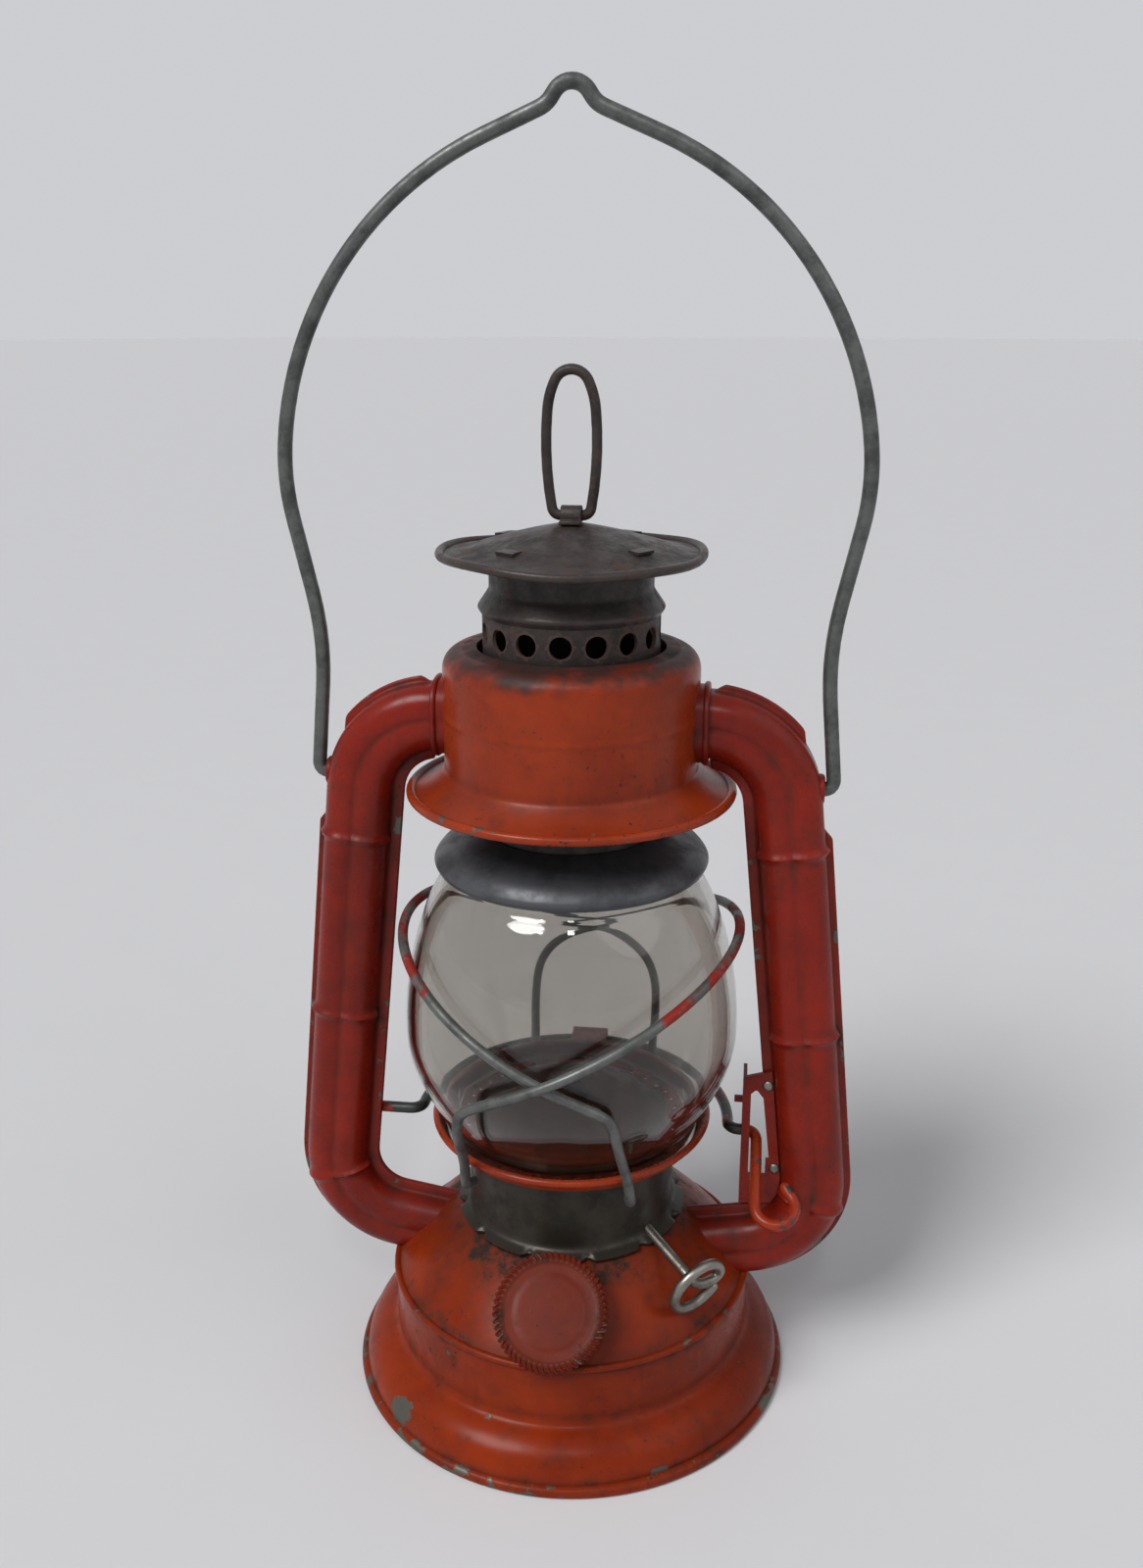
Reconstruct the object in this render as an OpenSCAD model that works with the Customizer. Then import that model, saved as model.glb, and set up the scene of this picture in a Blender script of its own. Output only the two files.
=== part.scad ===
// Kerosene lantern of the cold blast kind: a fount with a burner, two seamed air tubes, a hood with
// a lifting chimney, a glass globe raised by a side lever, and a wire bail.
// Millimetres, +Z up, the filler cap at the front (-Y), the globe lever at the right (+X).

/* [Fount] */
// Diameter over the rolled rim that stands on the table
base_d = 110; // [104:1:118]
// Wire diameter of the rolled rim
rim_bead_d = 3; // [2.4:0.1:3.6]
// Diameter of the upright fount wall
wall_d = 89.4; // [86:0.2:92]
// Height at which the flared foot turns into the wall
foot_h = 13; // [11:0.5:16]
// Swell of the flared foot
foot_swell = 2; // [0.5:0.25:3]
// Height of the seam between the wall and the air dome
seam_z = 28; // [26:0.5:30]
// Thickness of the seam bead
seam_bead_d = 1.8; // [1.2:0.1:2.4]
// Height of the top land of the air dome
dome_z = 44.2; // [43:0.1:45.5]
// Radius at which the dome reaches its top land
dome_land_r = 28; // [27:0.2:29]
// Swell of the air dome
dome_swell = 1; // [0.4:0.1:1.4]
// Thickness of the tinplate
sheet = 0.8; // [0.6:0.05:0.9]

/* [Filler] */
// Elevation of the filler axis, in degrees
filler_tilt = 45; // [42:1:50]
// Outside diameter of the filler neck
neck_d = 18; // [16:0.5:19]
// Height of the neck above the dome
neck_h = 3.6; // [3:0.2:4.2]
// Diameter over the knurl of the filler cap
cap_d = 28; // [26:0.5:29]
// Height of the filler cap
cap_h = 4.9; // [4.4:0.1:5.6]
// Number of knurls round the cap
cap_knurls = 62; // [40:2:72]

/* [Burner] */
// Diameter of the burner collar
collar_d = 51.2; // [50:0.2:52.4]
// Width of the flat wick
wick_w = 9.6; // [8:0.2:11]
// Thickness of the flat wick
wick_t = 1.8; // [1.4:0.1:2.2]
// Height that the wick tube rises above the globe plate
wick_tube_rise = 4.6; // [3.6:0.2:5.4]
// Diameter of the wick shaft
shaft_d = 2.4; // [2:0.1:2.8]
// Downward tilt of the wick shaft, in degrees
shaft_tilt = 17; // [15:0.5:18.5]
// Direction of the wick shaft from the front towards the lever side, in degrees
shaft_turn = 44; // [40:1:48]
// Length of the wick shaft from the wick to its ring
shaft_len = 45.5; // [45:0.5:50]
// Mean radius of the ring on the wick shaft
shaft_ring_r = 6.9; // [6:0.1:7.1]
// Wire diameter of the ring on the wick shaft
shaft_ring_d = 2.6; // [2.2:0.1:2.8]
// Tip radius of the spur wheels that climb the wick
spur_r = 3.2; // [2.8:0.1:3.6]

/* [Globe] */
// Height of the underside of the globe plate
plate_z = 67.2; // [65:0.2:70]
// Diameter over the rim of the globe plate
plate_d = 69; // [67:0.5:70.5]
// Greatest diameter of the globe
globe_d = 80.5; // [78:0.5:83]
// Height of the globe
globe_h = 72.5; // [70:0.25:75]
// Gap from the foot of the globe to the rim of the globe plate
globe_foot_gap = 3.2; // [3:0.1:4]
// Diameter of the neck of the globe
globe_neck_d = 58.8; // [57:0.2:60]
// Height of the widest part of the globe above its foot
globe_belly_h = 26.95; // [25:0.25:29]
// Height of the neck of the globe
globe_neck_h = 6.5; // [5.5:0.25:7.5]
// Thickness of the glass
glass_t = 2; // [1.6:0.1:2.4]
// Wire diameter of the globe guards
guard_d = 2.4; // [2:0.1:2.6]
// Turn of the globe guards about the lantern's axis, in degrees
guard_turn = -4; // [-6:0.5:0]
// Height of the globe guard hoop's middle above the globe plate
guard_mid_h = 34.2; // [33:0.1:36]
// Rise and fall of the globe guard hoop
guard_rise = 20; // [18:0.5:22]

/* [Hood and chimney] */
// Diameter of the hood
hood_d = 58.4; // [57:0.2:60]
// Diameter over the flange of the hood
hood_flange_d = 76.4; // [73:0.2:80]
// Height of the hood flange above the top of the globe
hood_gap = 13.45; // [13:0.05:15]
// Height of the hood above its flange
hood_h = 34.5; // [33:0.5:37]
// Diameter of the chimney tube
chimney_d = 40; // [38:0.2:41]
// Number of vent holes round the chimney tube
vent_count = 16; // [12:2:20]
// Diameter of a vent hole
vent_d = 5; // [3.5:0.1:5.6]
// Diameter over the rim of the canopy
canopy_d = 60.2; // [56:0.2:66]
// Rise of the canopy from its rim to its crown
canopy_rise = 7.9; // [6.5:0.1:9]
// Height of the canopy rim above the top of the hood
canopy_gap = 19.4; // [19:0.2:22]
// Wire diameter of the lift ring
ring_d = 2.3; // [2:0.1:2.6]
// Wire diameter of the chimney spring
spring_d = 1.6; // [1.2:0.1:1.8]
// Number of turns of the chimney spring
spring_turns = 7; // [5:1:9]

/* [Air tubes] */
// Radius of each of the two lobes across an air tube
lobe_r = 5.4; // [5:0.1:5.6]
// Distance of a lobe from the middle of the tube
lobe_off = 2.4; // [2.1:0.1:2.6]
// Distance of a lobe from the seam of the tube
lobe_lift = 1; // [0.6:0.1:1.3]
// Width of the seam flange on the globe side
flange_in = 2.7; // [2.5:0.1:3]
// Width of the seam flange on the outer side
flange_out = 1.5; // [1:0.1:1.8]
// Lean of the tube legs, in degrees
leg_lean = 6; // [5:0.25:7]
// Gap from the globe to the axis of a tube at its upper elbow
leg_gap = 9.95; // [9.7:0.05:12]
// Height of the tube axis above the hood flange
tube_h = 17.2; // [16.8:0.1:18]
// Bend radius of the lower elbow
low_elbow_r = 19; // [17.5:0.25:20]
// Height of the lower elbow's centre above the fount seam
low_elbow_h = 26; // [25:0.25:27]
// Fall of the lower end of a tube towards the fount, in degrees
low_fall = 10; // [8:0.5:12]

/* [Lift] */
// Wire diameter of the lift crank
crank_d = 2.8; // [2.4:0.1:3]
// Distance of the crank axis behind the middle of the lantern
crank_y = 2.4; // [2.3:0.05:2.8]
// Radius of the crank's sweep behind the globe plate
crank_sweep_r = 38.9; // [37.5:0.1:40]
// Slope of the lever below the level, in degrees
lever_slope = 32; // [29:1:34]
// Length of the lever's straight arm
lever_arm = 17; // [16:0.5:18]
// Radius of the lever's thumb loop
lever_loop_r = 4.8; // [4:0.1:5.2]
// Distance of the bracket's folded edge from the middle of the lantern
fold_x = 42.4; // [42:0.1:43]

/* [Bail] */
// Wire diameter of the bail
bail_d = 3.3; // [2.8:0.1:3.6]
// Length of the bail's straight leg above its hook
bail_leg = 18.9; // [16:0.1:24]
// Radius of the great arch of the bail
bail_arch_r = 75.5; // [72:0.5:80]

/* [Hidden] */
$fn = 64;
// Clearance of a turning or sliding fit, on the radius
run_gap = 0.05;
// Clearance between a piece and the seat that it rests on
rest_gap = 0.3;
// Sides of a bent wire, and the angle of one step in the bends of a wire and of a tube
wire_sides = 12;
bend_step = 9;
tube_step = 12;
stop_sides = 180;
base_r = base_d / 2;
wall_r = wall_d / 2;
collar_r = collar_d / 2;
plate_r = plate_d / 2;
globe_r = globe_d / 2;
globe_foot_r = plate_r - globe_foot_gap;
hood_r = hood_d / 2;
chimney_r = chimney_d / 2;
canopy_r = canopy_d / 2;
// Heights of the stack, from the globe plate up to the canopy
globe_z = plate_z + sheet + run_gap;
globe_top = globe_z + globe_h;
hood_z = globe_top + hood_gap;
hood_top = hood_z + hood_h;
canopy_z = hood_top + canopy_gap;
canopy_top = canopy_z + canopy_rise;
collar_top = plate_z - rest_gap;
tank_top_z = seam_z - 2.4;
// Rim, foot and wall of the fount
rim_c = [base_r - rim_bead_d / 2, rim_bead_d * 0.4];
foot_start = rim_c + [0, rim_bead_d / 4];
foot_end = [wall_r + 1.9, foot_h - 1.2];
wall_start = [wall_r + 0.3, foot_h + 0.8];
wall_top_z = seam_z - seam_bead_d / 2 - run_gap;
bottom_r = base_r - rim_bead_d - 0.5;
bottom_z = 1.6;
bottom_rise = 2.6;
dome_hole_r = collar_r - 2;
dome_land_rise = 0.4;
// Filler
filler_t = 0.5;
neck_wall = 1.2;
cap_lift = 1.2;
cap_wall = 1.6;
gasket_t = 0.7;
knurl_depth = 0.5;
knurl_h = 2;
face_recess = 0.8;
// Burner and wick
wick_clear = 0.3;
spur_clear = 0.15;
spur_t = 0.8;
spur_teeth = 10;
spur_tooth_h = 0.9;
spur_spread = 2.4;
shaft_in = 7;
tube_in_w = wick_w + 2 * wick_clear;
tube_in_t = wick_t + 2 * wick_clear;
tube_out_w = tube_in_w + 2 * sheet;
tube_out_t = tube_in_t + 2 * sheet;
shaft_off = wick_t / 2 + spur_clear + spur_r;
shaft_hole_z = dome_z + 2.7;
shaft_z = shaft_hole_z + sqrt(collar_r * collar_r - shaft_off * shaft_off) * tan(shaft_tilt);
wick_tube_top = plate_z + wick_tube_rise;
wick_top = wick_tube_top + 1.5;
wick_low = 12;
burner_z = plate_z - 7;
burner_air_holes = 10;
burner_air_d = 6.2;
petals = 12;
petal_notch_d = 2.2;
// Globe plate and burner cone
plate_hole_r = 21;
plate_lip = 3;
plate_bead_d = 1.8;
globe_rim_h = plate_z + plate_lip + plate_bead_d / 2 + rest_gap - globe_z;
plate_vents = 36;
plate_vent_d = 1.6;
plate_vent_r = 27;
cone_r = 24.6;
cone_rise = 8.2;
cone_slot_w = wick_w + 5;
cone_slot_t = wick_t + 3;
// Globe guards
guard_front_r = globe_r + 1.95;
guard_side_r = globe_r + 0.35;
guard_peak = 95;
guard_first = -20;
guard_last = 197;
guard_steps = 12;
guard_foot_r = plate_r + guard_d / 2 + 0.3;
guard_sides = 8;
spring_sides = 6;
spring_steps = 14;
// Retainer, hood, chimney, canopy and lift ring
neck_r = globe_neck_d / 2;
hood_hole_r = chimney_r + 1.4;
hood_rim_d = 2.2;
hood_ridge = 0.35;
chimney_low = globe_top + 3.6;
chimney_bead_z = hood_top + 9.1;
chimney_neck_r = chimney_r - 1.6;
vent_z = hood_top + 3.6;
tab_w = 5;
tab_len = 3.4;
tab_sink = 0.6;
tab_turn = 10;
canopy_rim_d = 2;
canopy_mid = [canopy_r * 0.73, canopy_z + canopy_rise * 0.34];
canopy_crown_r = 2;
canopy_slope = atan2(canopy_top - canopy_mid[1], canopy_mid[0] - canopy_crown_r);
ring_z = canopy_top + 1.6;
bridge_w = 4.6;
bridge_wall = 1;
bridge_foot = 9;
ring_bar = 2.45;
ring_corner_r = 1.9;
ring_corner = 80;
ring_side = [80, 15];
ring_shoulder = [18, 20];
// Air tubes
lobe_in_r = lobe_r - sheet;
tube_half_w = lobe_off + lobe_r;
stub_out = 1.8;
ferrule_wall = 1.5;
ferrule_len = 2.3;
tube_z = hood_z + tube_h;
elbow_x = hood_r + stub_out;
elbow_r = globe_r + leg_gap - elbow_x;
elbow_turn = 90 - leg_lean;
elbow_z = tube_z - elbow_r;
low_elbow_z = seam_z + low_elbow_h;
leg_top = [elbow_x + elbow_r * cos(leg_lean), elbow_z + elbow_r * sin(leg_lean)];
leg_low_z = low_elbow_z + low_elbow_r * sin(leg_lean);
leg_len = (leg_top[1] - leg_low_z) / cos(leg_lean);
low_turn = 90 + leg_lean - low_fall;
low_stub = 20;
hood_in = 6;
elbow_back = 12;
// The seam flanges set in after the hood and leave the ears of the bail free
flange_skip = 2.5;
flange_ramp = 3;
flange_least = 0.1;
ferrule_gap = 0.25;
low_centre_x = leg_x(leg_low_z) - low_elbow_r * cos(leg_lean);
// Lift bracket and crank
crank_z = plate_z - crank_d / 2 - rest_gap;
fold_depth = 7;
bracket_t = 0.9;
bracket_top = crank_z + 19;
bracket_low = crank_z - 18.5;
bracket_y = -sheet - run_gap - bracket_t;
bracket_reach = tube_half_w + 0.3;
window_top = crank_z + 13.5;
window_low = crank_z - 5.5;
lever_slot_low = crank_z - 10;
window_margin = 2;
rivet_r = 0.8;
rivet_head_r = 1.4;
rivet_head = 0.7;
rivet_off = tube_half_w + rivet_head_r + 0.2;
rivet_high_z = crank_z + 15;
rivet_low_z = crank_z - 8;
crank_bend_r = 3;
crank_end_in = 3.4;
lever_bend_r = 2.6;
lever_curl = 215;
lever_tail = 2.5;
lever_x = fold_x + sheet + 0.4;
crank_back = crank_y + crank_bend_r + crank_sweep_r;
ear_tab_w = 10;
ear_tab_gap = 0.6;
// Bail
pivot_z = elbow_z + 4.5;
ear_r = 3.6;
ear_out = elbow_x + sqrt(pow(elbow_r + tube_half_w, 2) - pow(pivot_z - elbow_z, 2)) + 0.3;
ear_len = 2.2;
hook_r = 1.9;
bail_in = 3.6;
bail_lean = 5.5;
bail_waist = [72, -17.5];
bail_run = 16.6;
bail_swell = [54, 18];
bail_arch = 61;
bail_kink = [5.4, -40];
bail_notch_r = 11;
bail_peak_r = 4.25;

// Vectors and sheet outlines. A path runs so that the inside of the sheet is on its left
function unit(v) = v / norm(v);
function left_of(v) = [-v[1], v[0]];
function side_normal(path, i) = left_of(unit(path[i + 1] - path[i]));
function inward(path, i) =
    let (
        before = side_normal(path, max(i - 1, 0)),
        after = side_normal(path, min(i, len(path) - 2)),
        both = before + after
    )
    2 * both / (both * both);
function offset_path(path, by) = [for (i = [0 : len(path) - 1]) path[i] + by * inward(path, i)];
function backwards(path) = [for (i = [len(path) - 1 : -1 : 0]) path[i]];
function sheet_outline(path, t) = concat(path, backwards(offset_path(path, t)));
// Points from p to q, without p itself, on a curve that swells to the right of its chord
function bow_point(p, q, swell, t) = p + (q - p) * t - 4 * swell * t * (1 - t) * left_of(unit(q - p));
function bow(p, q, swell, n = 6) = [for (i = [1 : n]) bow_point(p, q, swell, i / n)];
// Axis of a tube leg at a height
function leg_x(z) = leg_top[0] + (leg_top[1] - z) * tan(leg_lean);
// Place and heading after a run of straights [length] and bends [radius, angle]
function run_step(m, s) =
    len(m) == 1
    ? [s[0] + m[0] * cos(s[2]), s[1] + m[0] * sin(s[2]), s[2]]
    : let (r = sign(m[1]) * m[0], h = s[2] + m[1])
      [s[0] + r * (sin(h) - sin(s[2])), s[1] + r * (cos(s[2]) - cos(h)), h];
function run_end(moves, s, i = 0) = i == len(moves) ? s : run_end(moves, run_step(moves[i], s), i + 1);
// Places along a run, from its start
function move_places(m, s, step) =
    let (n = len(m) == 1 ? 1 : ceil(abs(m[1]) / step))
    [for (k = [1 : n]) run_step(len(m) == 1 ? m : [m[0], m[1] * k / n], s)];
function run_places(moves, s, step = bend_step, i = 0) =
    i == len(moves)
    ? [s]
    : let (p = move_places(moves[i], s, step))
      concat([s], [for (k = [0 : 1 : len(p) - 2]) p[k]], run_places(moves, p[len(p) - 1], step, i + 1));

// Profiles of the round sheet pieces
fount_path = concat(
    [foot_start],
    bow(foot_start, foot_end, foot_swell),
    bow(foot_end, wall_start, -0.35, 3),
    [[wall_r, wall_top_z]]
);
dome_path = concat(
    [[wall_r, seam_z]],
    bow([wall_r, seam_z], [dome_land_r, dome_z], dome_swell),
    [[dome_hole_r, dome_z + dome_land_rise]]
);
collar_path = [
    [collar_r + 3, dome_z + 1.1], [collar_r + 0.5, dome_z + 2.3], [collar_r, dome_z + 3.4],
    [collar_r, collar_top - 1.6], [collar_r - 1.4, collar_top]
];
hood_path = concat(
    [[hood_flange_d / 2 - hood_rim_d / 2, hood_z + hood_rim_d / 2]],
    bow([hood_flange_d / 2 - hood_rim_d / 2, hood_z + hood_rim_d / 2], [hood_r, hood_z + 6.2], -0.7),
    [[hood_r, hood_z + 18.6], [hood_r + hood_ridge, hood_z + 19.3], [hood_r, hood_z + 20]],
    bow([hood_r, hood_top - 5], [hood_r - 3, hood_top - 0.6], 0.9),
    [[hood_hole_r, hood_top]]
);
retainer_path = concat(
    [[neck_r + 2.2, globe_top - 3.9], [neck_r + 3, globe_top - 2.4]],
    bow([neck_r + 3, globe_top - 2.4], [neck_r - 2.4, globe_top + 2.2], 0.8),
    [[chimney_r + run_gap + sheet / 2, globe_top + 5]]
);
chimney_path = [
    [chimney_r, chimney_low], [chimney_r, chimney_bead_z - 2.4], [chimney_r + 1.1, chimney_bead_z],
    [chimney_r, chimney_bead_z + 2.4], [chimney_neck_r, chimney_bead_z + 4.6],
    [chimney_neck_r, canopy_height(chimney_neck_r) - 2 * sheet]
];
canopy_start = [canopy_r - canopy_rim_d / 2 + 0.3, canopy_z + canopy_rim_d / 2];
canopy_path = concat(
    [canopy_start],
    bow(canopy_start, canopy_mid, -0.3, 4),
    bow(canopy_mid, [canopy_crown_r, canopy_top], 0.4)
);
plate_path = [
    [plate_hole_r, plate_z], [plate_r - 2.2, plate_z], [plate_r - plate_bead_d / 2, plate_z + plate_lip]
];
cone_z = globe_z + sheet;
cone_path = concat(
    [[cone_r, cone_z]],
    bow([cone_r, cone_z], [9, cone_z + cone_rise - 1], 1.2),
    [[wick_t + 1.2, cone_z + cone_rise]]
);
globe_path = concat(
    [[globe_foot_r, globe_z]],
    [for (i = [0 : 8]) globe_point_low(1 - i / 8)],
    [for (i = [1 : 10]) globe_point_high(i / 10)],
    [[neck_r, globe_top]]
);
function canopy_height(r) = canopy_mid[1] + (canopy_mid[0] - r) * tan(canopy_slope);
function globe_point_low(s) = [
    globe_foot_r + (globe_r - globe_foot_r) * cos(90 * s),
    globe_z + globe_rim_h + (globe_belly_h - globe_rim_h) * (1 - s)
];
function globe_point_high(s) = [
    neck_r + (globe_r - neck_r) * pow(cos(90 * s), 0.65),
    globe_z + globe_belly_h + (globe_h - globe_neck_h - globe_belly_h) * s
];

// A sheet turned round the lantern's axis
module turned_sheet(path, t = sheet) {
    rotate_extrude()
        polygon(sheet_outline(path, t));
}

// A round bead turned round the lantern's axis
module turned_bead(at, d) {
    rotate_extrude()
        translate(at)
            circle(d = d, $fn = 32);
}

// Skin over rings of points that each go counterclockwise round the way ahead
module skin_over(rings, closed = false) {
    n = len(rings);
    sides = len(rings[0]);
    wall = [
        for (i = [0 : closed ? n - 1 : n - 2], k = [0 : sides - 1])
            let (
                a = i * sides + k,
                b = i * sides + (k + 1) % sides,
                c = ((i + 1) % n) * sides + k,
                e = ((i + 1) % n) * sides + (k + 1) % sides
            )
            each [[a, c, b], [b, c, e]]
    ];
    ends = closed ? [] : [
        [for (k = [0 : sides - 1]) k],
        [for (k = [sides - 1 : -1 : 0]) (n - 1) * sides + k]
    ];
    polyhedron([for (ring = rings) each ring], concat(wall, ends));
}

// Round wire through a list of points. Its section keeps its turn along the way, from a first
// direction across the wire
function ahead(path, i, closed) =
    let (n = len(path))
    closed
    ? unit(path[(i + 1) % n] - path[(i + n - 1) % n])
    : unit(path[min(i + 1, n - 1)] - path[max(i - 1, 0)]);
function across(v, t) = unit(v - (v * t) * t);
function carried(path, first, closed) =
    let (t = [for (i = [0 : len(path) - 1]) ahead(path, i, closed)])
    [for (i = 0, v = across(first, t[0]); i < len(t); i = i + 1, v = across(v, t[min(i, len(t) - 1)])) v];
function wire_ring(at, t, a, r, sides) =
    [for (k = [0 : sides - 1]) at + r * (cos(360 * k / sides) * a + sin(360 * k / sides) * cross(t, a))];
module swept_wire(path, d, first, sides = wire_sides, closed = false) {
    turns = carried(path, first, closed);
    rings = [
        for (i = [0 : len(path) - 1])
            wire_ring(path[i], ahead(path, i, closed), turns[i], d / 2, sides)
    ];
    skin_over(rings, closed);
}

// Section through the two lobes on each side of an air tube's seam
module lobes(r) {
    for (s = [-1, 1])
        translate([s * lobe_off, lobe_lift])
            circle(r);
}
module full_lobes(r) {
    lobes(r);
    mirror([0, 1])
        lobes(r);
}

// Outline of half an air tube in its wall, with its seam flanges out to the two given reaches, and its
// place on the way of the right tube
function lobe_arc(r, from, to, n = 5) = [
    for (i = [0 : n])
        let (a = from + (to - from) * i / n)
        [lobe_off + r * cos(a), lobe_lift + r * sin(a)]
];
function lobe_line(r, low) =
    let (half = lobe_arc(r, asin((low - lobe_lift) / r), 180 - acos(lobe_off / r)))
    concat(half, [for (i = [len(half) - 2 : -1 : 0]) [-half[i][0], half[i][1]]]);
function half_section(out, in) = concat(
    [[out, 0], [out, sheet]],
    lobe_line(lobe_r, sheet),
    [[-in, sheet], [-in, 0]],
    backwards(lobe_line(lobe_in_r, 0))
);
function share(v) = max(0, min(1, v));
function beside(p, u) = [p[0] - u * sin(p[2]), p[1] + u * cos(p[2])];
function tube_ring(p) =
    let (
        begun = share((-p[2] - flange_skip) / flange_ramp),
        from_ear = norm(beside(p, tube_half_w) - [ear_out, pivot_z]) - bail_notch_r,
        least = tube_half_w + flange_least,
        out = least + (flange_out - flange_least) * begun * share(from_ear / flange_ramp),
        in = least + (flange_in - flange_least) * begun
    )
    [for (q = half_section(out, in)) let (at = beside(p, q[0])) [at[0], -q[1], at[1]]];
tube_start = [elbow_x - elbow_r * sin(elbow_back), tube_z - elbow_r * (1 - cos(elbow_back)), elbow_back];
notch_low = (leg_top[1] - pivot_z + bail_notch_r) / cos(leg_lean);
tube_places = run_places(
    [
        [elbow_r, -elbow_back - flange_skip], [elbow_r, -flange_ramp],
        [elbow_r, flange_skip + flange_ramp - elbow_turn],
        [notch_low], [flange_ramp], [leg_len - notch_low - flange_ramp],
        [low_elbow_r, -low_turn], [low_stub]
    ],
    tube_start, tube_step
);

// The way that air takes from the lower end of the right tube into the dome
module low_air_way() {
    low_end = run_end([[elbow_r, -elbow_turn], [leg_len], [low_elbow_r, -low_turn]], [elbow_x, tube_z, 0]);
    translate([low_end[0], 0, low_end[1]])
        rotate([90, 0, 0])
            rotate([0, 0, low_end[2]])
                rotate([90, 0, 90])
                    linear_extrude(low_stub)
                        full_lobes(lobe_in_r);
}

// What the ends of the tubes stand against: the fount and the hood
module tube_stops() {
    rotate_extrude($fn = stop_sides)
        polygon(concat(
            offset_path(dome_path, -run_gap),
            [[0, dome_z], [0, foot_h], [wall_r + run_gap, foot_h]]
        ));
    rotate_extrude($fn = stop_sides)
        translate([wall_r, seam_z])
            circle(d = seam_bead_d + 2 * run_gap, $fn = 16);
    translate([0, 0, hood_z])
        cylinder(r = hood_r + hood_ridge + run_gap, h = hood_h, $fn = stop_sides);
}

// Half of the right tube; front is 1 for the half towards the viewer and -1 for the half behind
module tube_half(front) {
    difference() {
        scale_front(front)
            skin_over([for (p = tube_places) tube_ring(p)]);
        tube_stops();
        ear_seat(run_gap, ear_len);
    }
}
module scale_front(front) {
    if (front > 0)
        children();
    else
        mirror([0, 1, 0])
            children();
}

// Round seat of a bail ear in the outer wall of the right tube
module ear_seat(gap, beyond = 0) {
    translate([ear_out - ear_len - gap, 0, pivot_z])
        rotate([0, 90, 0])
            cylinder(r = ear_r + gap, h = ear_len + 2 * gap + beyond);
}

// Rivet holes or shanks through the right tube's inner flange
module at_rivets(r) {
    for (z = [rivet_high_z, rivet_low_z])
        translate([leg_x(z) - rivet_off, 0, z])
            rotate([90, 0, 0])
                cylinder(r = r, h = 12 * sheet, center = true, $fn = 24);
}

// Bore along the crank's axis
module crank_bore(x0, x1) {
    translate([x0, crank_y, crank_z])
        rotate([0, 90, 0])
            cylinder(d = crank_d + 2 * run_gap, h = x1 - x0);
}

// Filler axis: origin on the dome, +Z out of the neck
filler_p = bow_point([wall_r, seam_z], [dome_land_r, dome_z], dome_swell, filler_t);
module at_filler() {
    translate([0, -filler_p[0], filler_p[1]])
        rotate([90 - filler_tilt, 0, 0])
            children();
}

// Wick frame: +X along the flat of the wick, towards the shaft's ring
module at_wick() {
    rotate([0, 0, shaft_turn - 90])
        children();
}
module at_shaft() {
    at_wick()
        translate([0, shaft_off, shaft_z])
            rotate([0, shaft_tilt, 0])
                children();
}
module along_shaft(d, x0, x1) {
    at_shaft()
        translate([x0, 0, 0])
            rotate([0, 90, 0])
                cylinder(d = d, h = x1 - x0, $fn = 32);
}

// Fount

module fount_bowl() {
    color("orangered")
        rotate_extrude()
            intersection() {
                union() {
                    polygon(sheet_outline(fount_path, sheet));
                    translate(rim_c)
                        circle(d = rim_bead_d, $fn = 32);
                }
                square([base_r + 1, seam_z]);
            }
}

module fount_bottom() {
    path = [
        [2, bottom_z + bottom_rise], [bottom_r - 9, bottom_z + bottom_rise], [bottom_r - 5, bottom_z],
        [bottom_r, bottom_z]
    ];
    color("sienna")
        union() {
            turned_sheet(path);
            translate([0, 0, bottom_z + bottom_rise])
                cylinder(r = 2 + sheet, h = sheet);
        }
}

module tank_top() {
    color("gray")
        difference() {
            translate([0, 0, tank_top_z])
                cylinder(r = wall_r - sheet - run_gap, h = sheet);
            at_wick()
                translate([0, 0, tank_top_z])
                    cube([tube_out_w + 2 * run_gap, tube_out_t + 2 * run_gap, 4 * sheet], center = true);
            at_filler()
                translate([0, 0, -wall_r])
                    cylinder(d = neck_d + 2 * run_gap, h = wall_r);
        }
}

module air_dome() {
    color("orangered")
        difference() {
            rotate_extrude()
                union() {
                    polygon(sheet_outline(dome_path, sheet));
                    translate([wall_r, seam_z])
                        circle(d = seam_bead_d, $fn = 32);
                }
            at_filler()
                cylinder(d = neck_d + 2 * run_gap, h = wall_r / 2, center = true);
            for (s = [0, 1])
                mirror([s, 0, 0])
                    low_air_way();
        }
}

module filler_neck() {
    color("dimgray")
        difference() {
            at_filler()
                translate([0, 0, -wall_r / 2])
                    difference() {
                        cylinder(d = neck_d, h = wall_r / 2 + neck_h);
                        translate([0, 0, -1])
                            cylinder(d = neck_d - 2 * neck_wall, h = wall_r + neck_h);
                    }
            translate([-wall_r, -wall_r, 0])
                cube([2 * wall_r, 2 * wall_r, tank_top_z - sheet]);
        }
}

module burner_collar() {
    color("darkslategray")
        difference() {
            turned_sheet(collar_path);
            for (i = [0 : petals - 1])
                rotate([0, 0, (i + 0.5) * 360 / petals])
                    translate([collar_r + 3, 0, dome_z])
                        cylinder(d = petal_notch_d, h = 3);
            along_shaft(shaft_d + 2 * run_gap, 0, shaft_len);
        }
}

module burner_body() {
    color("darkslategray")
        difference() {
            translate([0, 0, burner_z])
                cylinder(r = collar_r - sheet - run_gap, h = sheet);
            at_wick()
                translate([0, 0, burner_z])
                    cube([tube_out_w + 2 * run_gap, tube_out_t + 2 * run_gap, 4 * sheet], center = true);
            for (i = [0 : burner_air_holes - 1])
                rotate([0, 0, i * 360 / burner_air_holes])
                    translate([collar_r * 0.62, 0, burner_z - sheet])
                        cylinder(d = burner_air_d, h = 3 * sheet);
        }
}

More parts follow.
